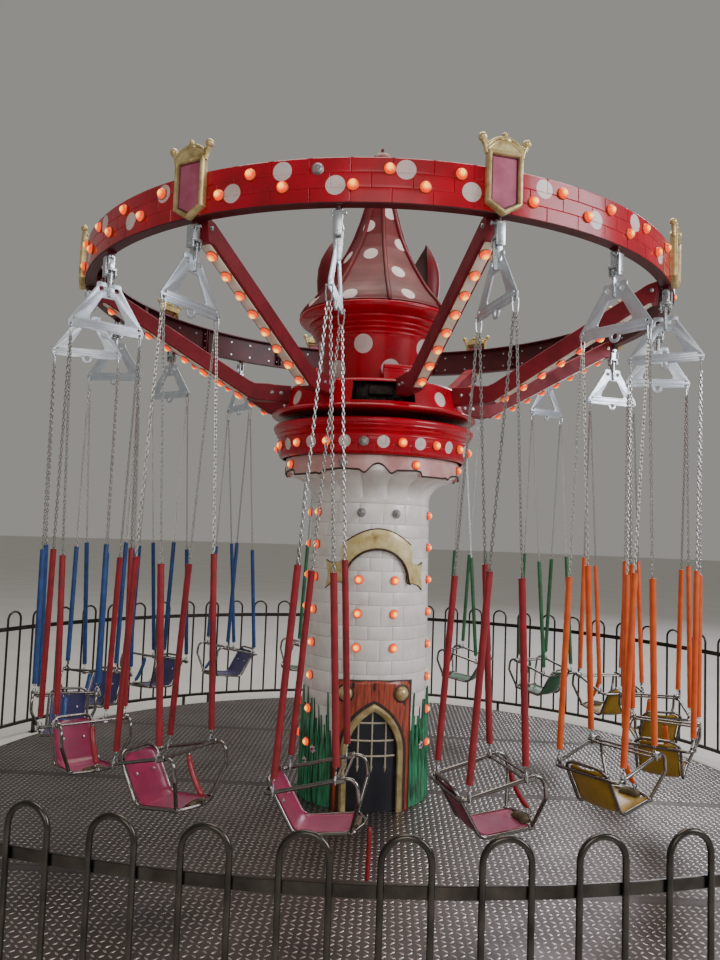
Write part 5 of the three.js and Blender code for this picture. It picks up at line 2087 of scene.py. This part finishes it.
def sleeves():
    form = Form()
    for side, forward in strands():
        top, foot = strand(side, forward)
        place = along(foot, top)
        rise = (SLEEVE_TOPS[side, forward] - foot.z) / (top.z - foot.z) * (top - foot).length
        steps = 26
        skin = [(SLEEVE_RADIUS + 0.0005 * math.sin(step * 2.4 + side + forward * 9),
                 SLEEVE_FOOT_GAP + (rise - SLEEVE_FOOT_GAP) * step / steps) for step in range(steps + 1)]
        bore = SLEEVE_RADIUS - 0.003
        profile = [(bore, 0.03), (bore, SLEEVE_FOOT_GAP + 0.001), *skin, (bore, rise - 0.001),
                   (bore, rise - 0.03)]
        form.take(*grid([[(r * math.cos(2 * math.pi * k / 14), r * math.sin(2 * math.pi * k / 14), z)
                          for k in range(14)] for r, z in profile], around=True), place=place)
    return form


def strap(hangs_loose):
    """The crotch strap: from the lap bar's middle to the front apex, or hanging from the apex."""
    if hangs_loose:
        path = [(0, 0.224, 0.566), (0, 0.226, 0.520), (0, 0.225, 0.450), (0, 0.223, 0.390),
                (0, 0.222, 0.344)]
    else:
        path = [(0, 0.119, 0.778), (0, 0.126, 0.745), (0, 0.146, 0.700), (0, 0.176, 0.652),
                (0, 0.208, 0.614)]
    fine = smooth_path(path, 5)
    form = Form()
    count = len(fine)
    rows = []
    for index, (point, radius) in enumerate(zip(fine, [0.0001, 0.010, 0.0135] + [STRAP_RADIUS] * (count - 6)
                                                + [0.0135, 0.010, 0.0001])):
        heading = (fine[min(index + 1, count - 1)] - fine[max(index - 1, 0)]).normalized()
        across = Vector((1, 0, 0))
        upright = heading.cross(across)
        rows.append([point + across * radius * math.cos(2 * math.pi * k / 14)
                     + upright * radius * 0.72 * math.sin(2 * math.pi * k / 14) for k in range(14)])
    form.take(*grid(rows, around=True), place=HANG_PLACE)
    return form


def smooth_path(points, steps):
    """A path through points with rounded turns between them."""
    path = [Vector(point) for point in points]
    made = []
    for index in range(len(path) - 1):
        before, start, end = path[max(index - 1, 0)], path[index], path[index + 1]
        after = path[min(index + 2, len(path) - 1)]
        for step in range(steps):
            t = step / steps
            made.append(0.5 * ((2 * start) + (end - before) * t
                               + (2 * before - 5 * start + 4 * end - after) * t ** 2
                               + (3 * start - before - 3 * end + after) * t ** 3))
    return made + [path[-1]]


for group, (colour, dark, light) in enumerate(SLEEVE_COLOURS):
    material = hose(f"hose_{colour}", dark, light)
    numbers = swings_of(group)
    share_out("swing_sleeves", sleeves(), [material], numbers, smooth=60)
    for loose in (False, True):
        alike = [number for number in numbers if (number == LOOSE_STRAP) == loose]
        share_out("swing_strap", strap(loose), [material], alike, smooth=60)

# Chairs
# A bent stainless tube makes the arms, legs and rear rail; a second closed loop carries the moulded
# seat. A double lap bar is clamped between the arms.
SEAT_LOOP_RADIUS = 0.008
SEAT_HALF = 0.101
SEAT_THICKNESS = 0.004
SEAT_TOP_CORNER = 0.045
WEAVE = "weave"
SEAT_COLOURS = (("magenta", "#74103a", "#96194a", "#a85a78"),
                ("mustard", "#8a6a14", "#ab8520", "#bda667"),
                ("green", "#1f4a30", "#2f6444", "#7d9a86"),
                ("navy", "#231f48", "#353064", "#817e9c"))


def chair_stainless():
    """Bright stainless tube, polished but handled: sharp reflections over faint smears; its colour is
    darkened as a painted reflection of a dark hall.
    """
    return clouded("chair_stainless", {"Metallic": 1.0}, "#75716d", "#8f8b87", 90, detail=4.0,
                   roughness=0.6, dulls=(0.2, 0.12))


def seat_plastic(name, dark, light, tread):
    """Moulded seat plastic, glossy and slightly clouded; the pan's diamond ribs are scuffed pale."""
    made, tree, shader = finish_of(name, {"Coat Weight": 0.3, "Coat Roughness": 0.15, "Roughness": 0.35})
    place = add(tree, "Attribute", {}, attribute_name=WEAVE).outputs["Vector"]
    parts = add(tree, "SeparateXYZ", {"Vector": place})
    ribs = []
    for operation in ("ADD", "SUBTRACT"):
        slanted = add(tree, "Math", {0: parts.outputs["X"], 1: parts.outputs["Y"]}, operation=operation)
        wave = add(tree, "Math", {0: slanted.outputs["Value"], 1: 2 * math.pi / 0.012},
                   operation="MULTIPLY")
        ribs.append(add(tree, "Math", {0: wave.outputs["Value"]}, operation="SINE").outputs["Value"])
    crest_line = add(tree, "Math", {0: ribs[0], 1: ribs[1]}, operation="MAXIMUM").outputs["Value"]
    rib = add(tree, "Math", {0: between(tree, crest_line, 0.72, 0.95, 0.0, 1.0), 1: parts.outputs["Z"]},
              operation="MULTIPLY").outputs["Value"]
    mixed = add(tree, "Mix", {"Factor": rib}, data_type="RGBA")
    tree.links.new(ramp(tree, noise(tree, 80, 4.0), 0.3, 0.7, dark, light), mixed.inputs[6])
    mixed.inputs[7].default_value = linear(tread)
    tree.links.new(mixed.outputs[2], shader.inputs["Base Color"])
    bumps(tree, shader, rib, 1.0, 0.5)
    return made


def wedge_brown():
    """Olive-brown rubbery plastic of the saddle wedge, matt and dusty."""
    return clouded("wedge_brown", {"Roughness": 0.6}, "#3c3422", "#5d5237", 24, detail=4.0)


def chair_tubes(form):
    """The outer tube of arms, legs and rear rail, and the closed loop that carries the seat."""
    half_frame = [(0.112, 0.160, 0.577), (0.170, 0.196, 0.718), (0.170, 0.182, 0.815),
                  (0.170, -0.187, 0.723)]
    path = half_frame + [(-x, y, z) for x, y, z in half_frame[::-1]]
    bends = [0, 0.045, 0.055, 0.030, 0.030, 0.055, 0.045, 0]
    form.take(*tube(rounded(path, bends, 8), FRAME_TUBE_RADIUS, 12), place=HANG_PLACE)
    half_loop = [(0.112, 0.172, 0.578), (0.112, -0.068, 0.548), (0.112, -0.193, 0.762)]
    loop = half_loop + [(-x, y, z) for x, y, z in half_loop[::-1]] + [(0, 0.215, 0.584)]
    bends = [0.025, 0.050, 0.055, 0.055, 0.050, 0.025, 0.080]
    form.take(*tube(rounded(loop, bends, 8, closed=True), SEAT_LOOP_RADIUS, 12, closed=True),
              place=HANG_PLACE)


def clamps(form):
    """The lap bar's and the rear clamps on the arms, and blocks at the legs' feet."""
    tilt = Matrix.Rotation(math.atan2(ARM_FRONT[1] - ARM_REAR[1], ARM_FRONT[0] - ARM_REAR[0]), 4, "X")
    for side in (-1, 1):
        for forward, size in ((LAP_BAR, (0.026, 0.048, 0.026)), (REAR_CHAIN, (0.022, 0.012, 0.022))):
            spot = Matrix.Translation((side * ARM_SPREAD, forward, arm_height(forward)))
            form.take(*block(size, 0.004), place=HANG_PLACE @ spot @ tilt)
        form.take(*block((0.020, 0.026, 0.022), 0.005, (side * 0.112, 0.160, 0.579)), place=HANG_PLACE)


def chair_frame():
    """The tubes, the double lap bar, the clamps, and a ring at each end of the crotch strap."""
    form = Form()
    chair_tubes(form)
    for forward in (LAP_BAR - 0.015, LAP_BAR + 0.015):
        height = arm_height(forward) - 0.002
        bar = [(-ARM_SPREAD, forward, height), (ARM_SPREAD, forward, height)]
        form.take(*tube(bar, 0.0055, 10), place=HANG_PLACE)
    clamps(form)
    ring = [(0.011 * math.cos(math.radians(t)), 0.0, 0.011 * math.sin(math.radians(t)))
            for t in range(0, 360, 30)]
    for spot in ((0, LAP_BAR, arm_height(LAP_BAR) - 0.012), (0, 0.216, 0.602)):
        form.take(*tube(ring, 0.0025, 6, closed=True), place=HANG_PLACE @ Matrix.Translation(spot))
    return form


def seat_rows():
    """Points along the seat's middle line from its top to its front, with their normals."""
    bend = rounded([(0, -0.184, 0.747), (0, -0.066, 0.551), (0, 0.172, 0.576)], 0.060, 8)
    top, front = bend[0], bend[-1]
    fine = [top.lerp(bend[1], share) for share in (0, 0.03, 0.07, 0.12, 0.2, 0.4, 0.6, 0.8)]
    fine += bend[1:-1]
    fine += [bend[-2].lerp(front, share) for share in (0.2, 0.4, 0.6, 0.8, 0.9, 0.96, 1.0)]
    return fine


def seat_width(run, whole):
    """Half the seat's width: its top corners are rounded, its front corners clipped."""
    if run < SEAT_TOP_CORNER:
        return SEAT_HALF - SEAT_TOP_CORNER + math.sqrt(SEAT_TOP_CORNER ** 2 - (SEAT_TOP_CORNER - run) ** 2)
    return SEAT_HALF - 0.6 * max(0.0, run - whole + 0.02)


def seat_shell():
    """The shell's upper and under face in one closed skin, and the weave of each point."""
    line = seat_rows()
    runs = [0.0]
    for before, after in zip(line, line[1:]):
        runs.append(runs[-1] + (after - before).length)
    shares = (-1, -0.97, -0.92, -0.8, -0.5, 0, 0.5, 0.8, 0.92, 0.97, 1)
    lifts = (0.006, 0.0075, 0.003, -0.001, -0.005, -0.007, -0.005, -0.001, 0.003, 0.0075, 0.006)
    rows = []
    weave = []
    for index, (point, run) in enumerate(zip(line, runs)):
        heading = (line[min(index + 1, len(line) - 1)] - line[max(index - 1, 0)]).normalized()
        normal = Vector((1, 0, 0)).cross(heading)
        half = seat_width(run, runs[-1])
        upper = [point + Vector((share * half, 0, 0)) + normal * lift for share, lift in zip(shares, lifts)]
        under = [spot - normal * SEAT_THICKNESS for spot in upper[::-1]]
        on_pan = 1.0 if 0.24 < run < runs[-1] - 0.02 else 0.0
        rows.append(upper + under)
        weave += [(share * half, run, on_pan if abs(share) < 0.85 else 0.0) for share in shares]
        weave += [(0.0, 0.0, 0.0)] * len(shares)
    form = Form()
    form.take(*grid(rows, around=True, capped=True), place=HANG_PLACE)
    return form, weave


def seat_fittings():
    """Two domed rivets through the back and the curved wedge at the seat's front."""
    form = Form()
    along_back = Vector((0, -0.118, 0.196)).normalized()
    behind = Vector((0, -0.196, -0.118)).normalized()
    for side in (-1, 1):
        for face in (-1, 1):
            spot = Vector((side * 0.052, -0.066, 0.551)) + along_back * 0.130 + behind * (0.005 * face)
            turn = Matrix.Translation(spot) @ (behind * face).to_track_quat("Z", "X").to_matrix().to_4x4()
            rivet = [(0.006, -0.002), (0.0055, 0.001), (0.0035, 0.0025), (0.0005, 0.003)]
            form.take(*turned(rivet, 14), place=HANG_PLACE @ turn)
    rows = []
    for step in range(9):
        turn = math.radians(-60 + 15 * step)
        across, forward = 0.056 * math.sin(turn), 0.176 + 0.012 * math.cos(turn)
        high = 0.578 + 0.018 * math.cos(turn)
        rows.append([(across, forward - 0.034, 0.572), (across, forward - 0.030, high - 0.008),
                     (across, forward - 0.020, high), (across, forward - 0.002, high + 0.003),
                     (across, forward + 0.005, high - 0.003), (across, forward + 0.006, 0.572)])
    form.take(*grid(rows, around=True, capped=True), place=HANG_PLACE, paint=1)
    return form


share_out("chair_frame", chair_frame(), [chair_stainless()], range(SWINGS), smooth=50,
          replaced="chair")
share_out("chair_fittings", seat_fittings(), [BRIGHT_ZINC, wedge_brown()], range(SWINGS),
          smooth=40)
for group, (colour, dark, light, tread) in enumerate(SEAT_COLOURS):
    material = seat_plastic(f"seat_{colour}", dark, light, tread)
    shell, weave = seat_shell()
    numbers = swings_of(group)
    share_out("chair_seat", shell, [material], numbers, smooth=40, closed=True)
    mesh = bpy.data.objects[f"chair_seat_{numbers[0] + 1:02d}"].data
    store = mesh.attributes.new(WEAVE, "FLOAT_VECTOR", "POINT")
    store.data.foreach_set("vector", [value for spot in weave for value in spot])
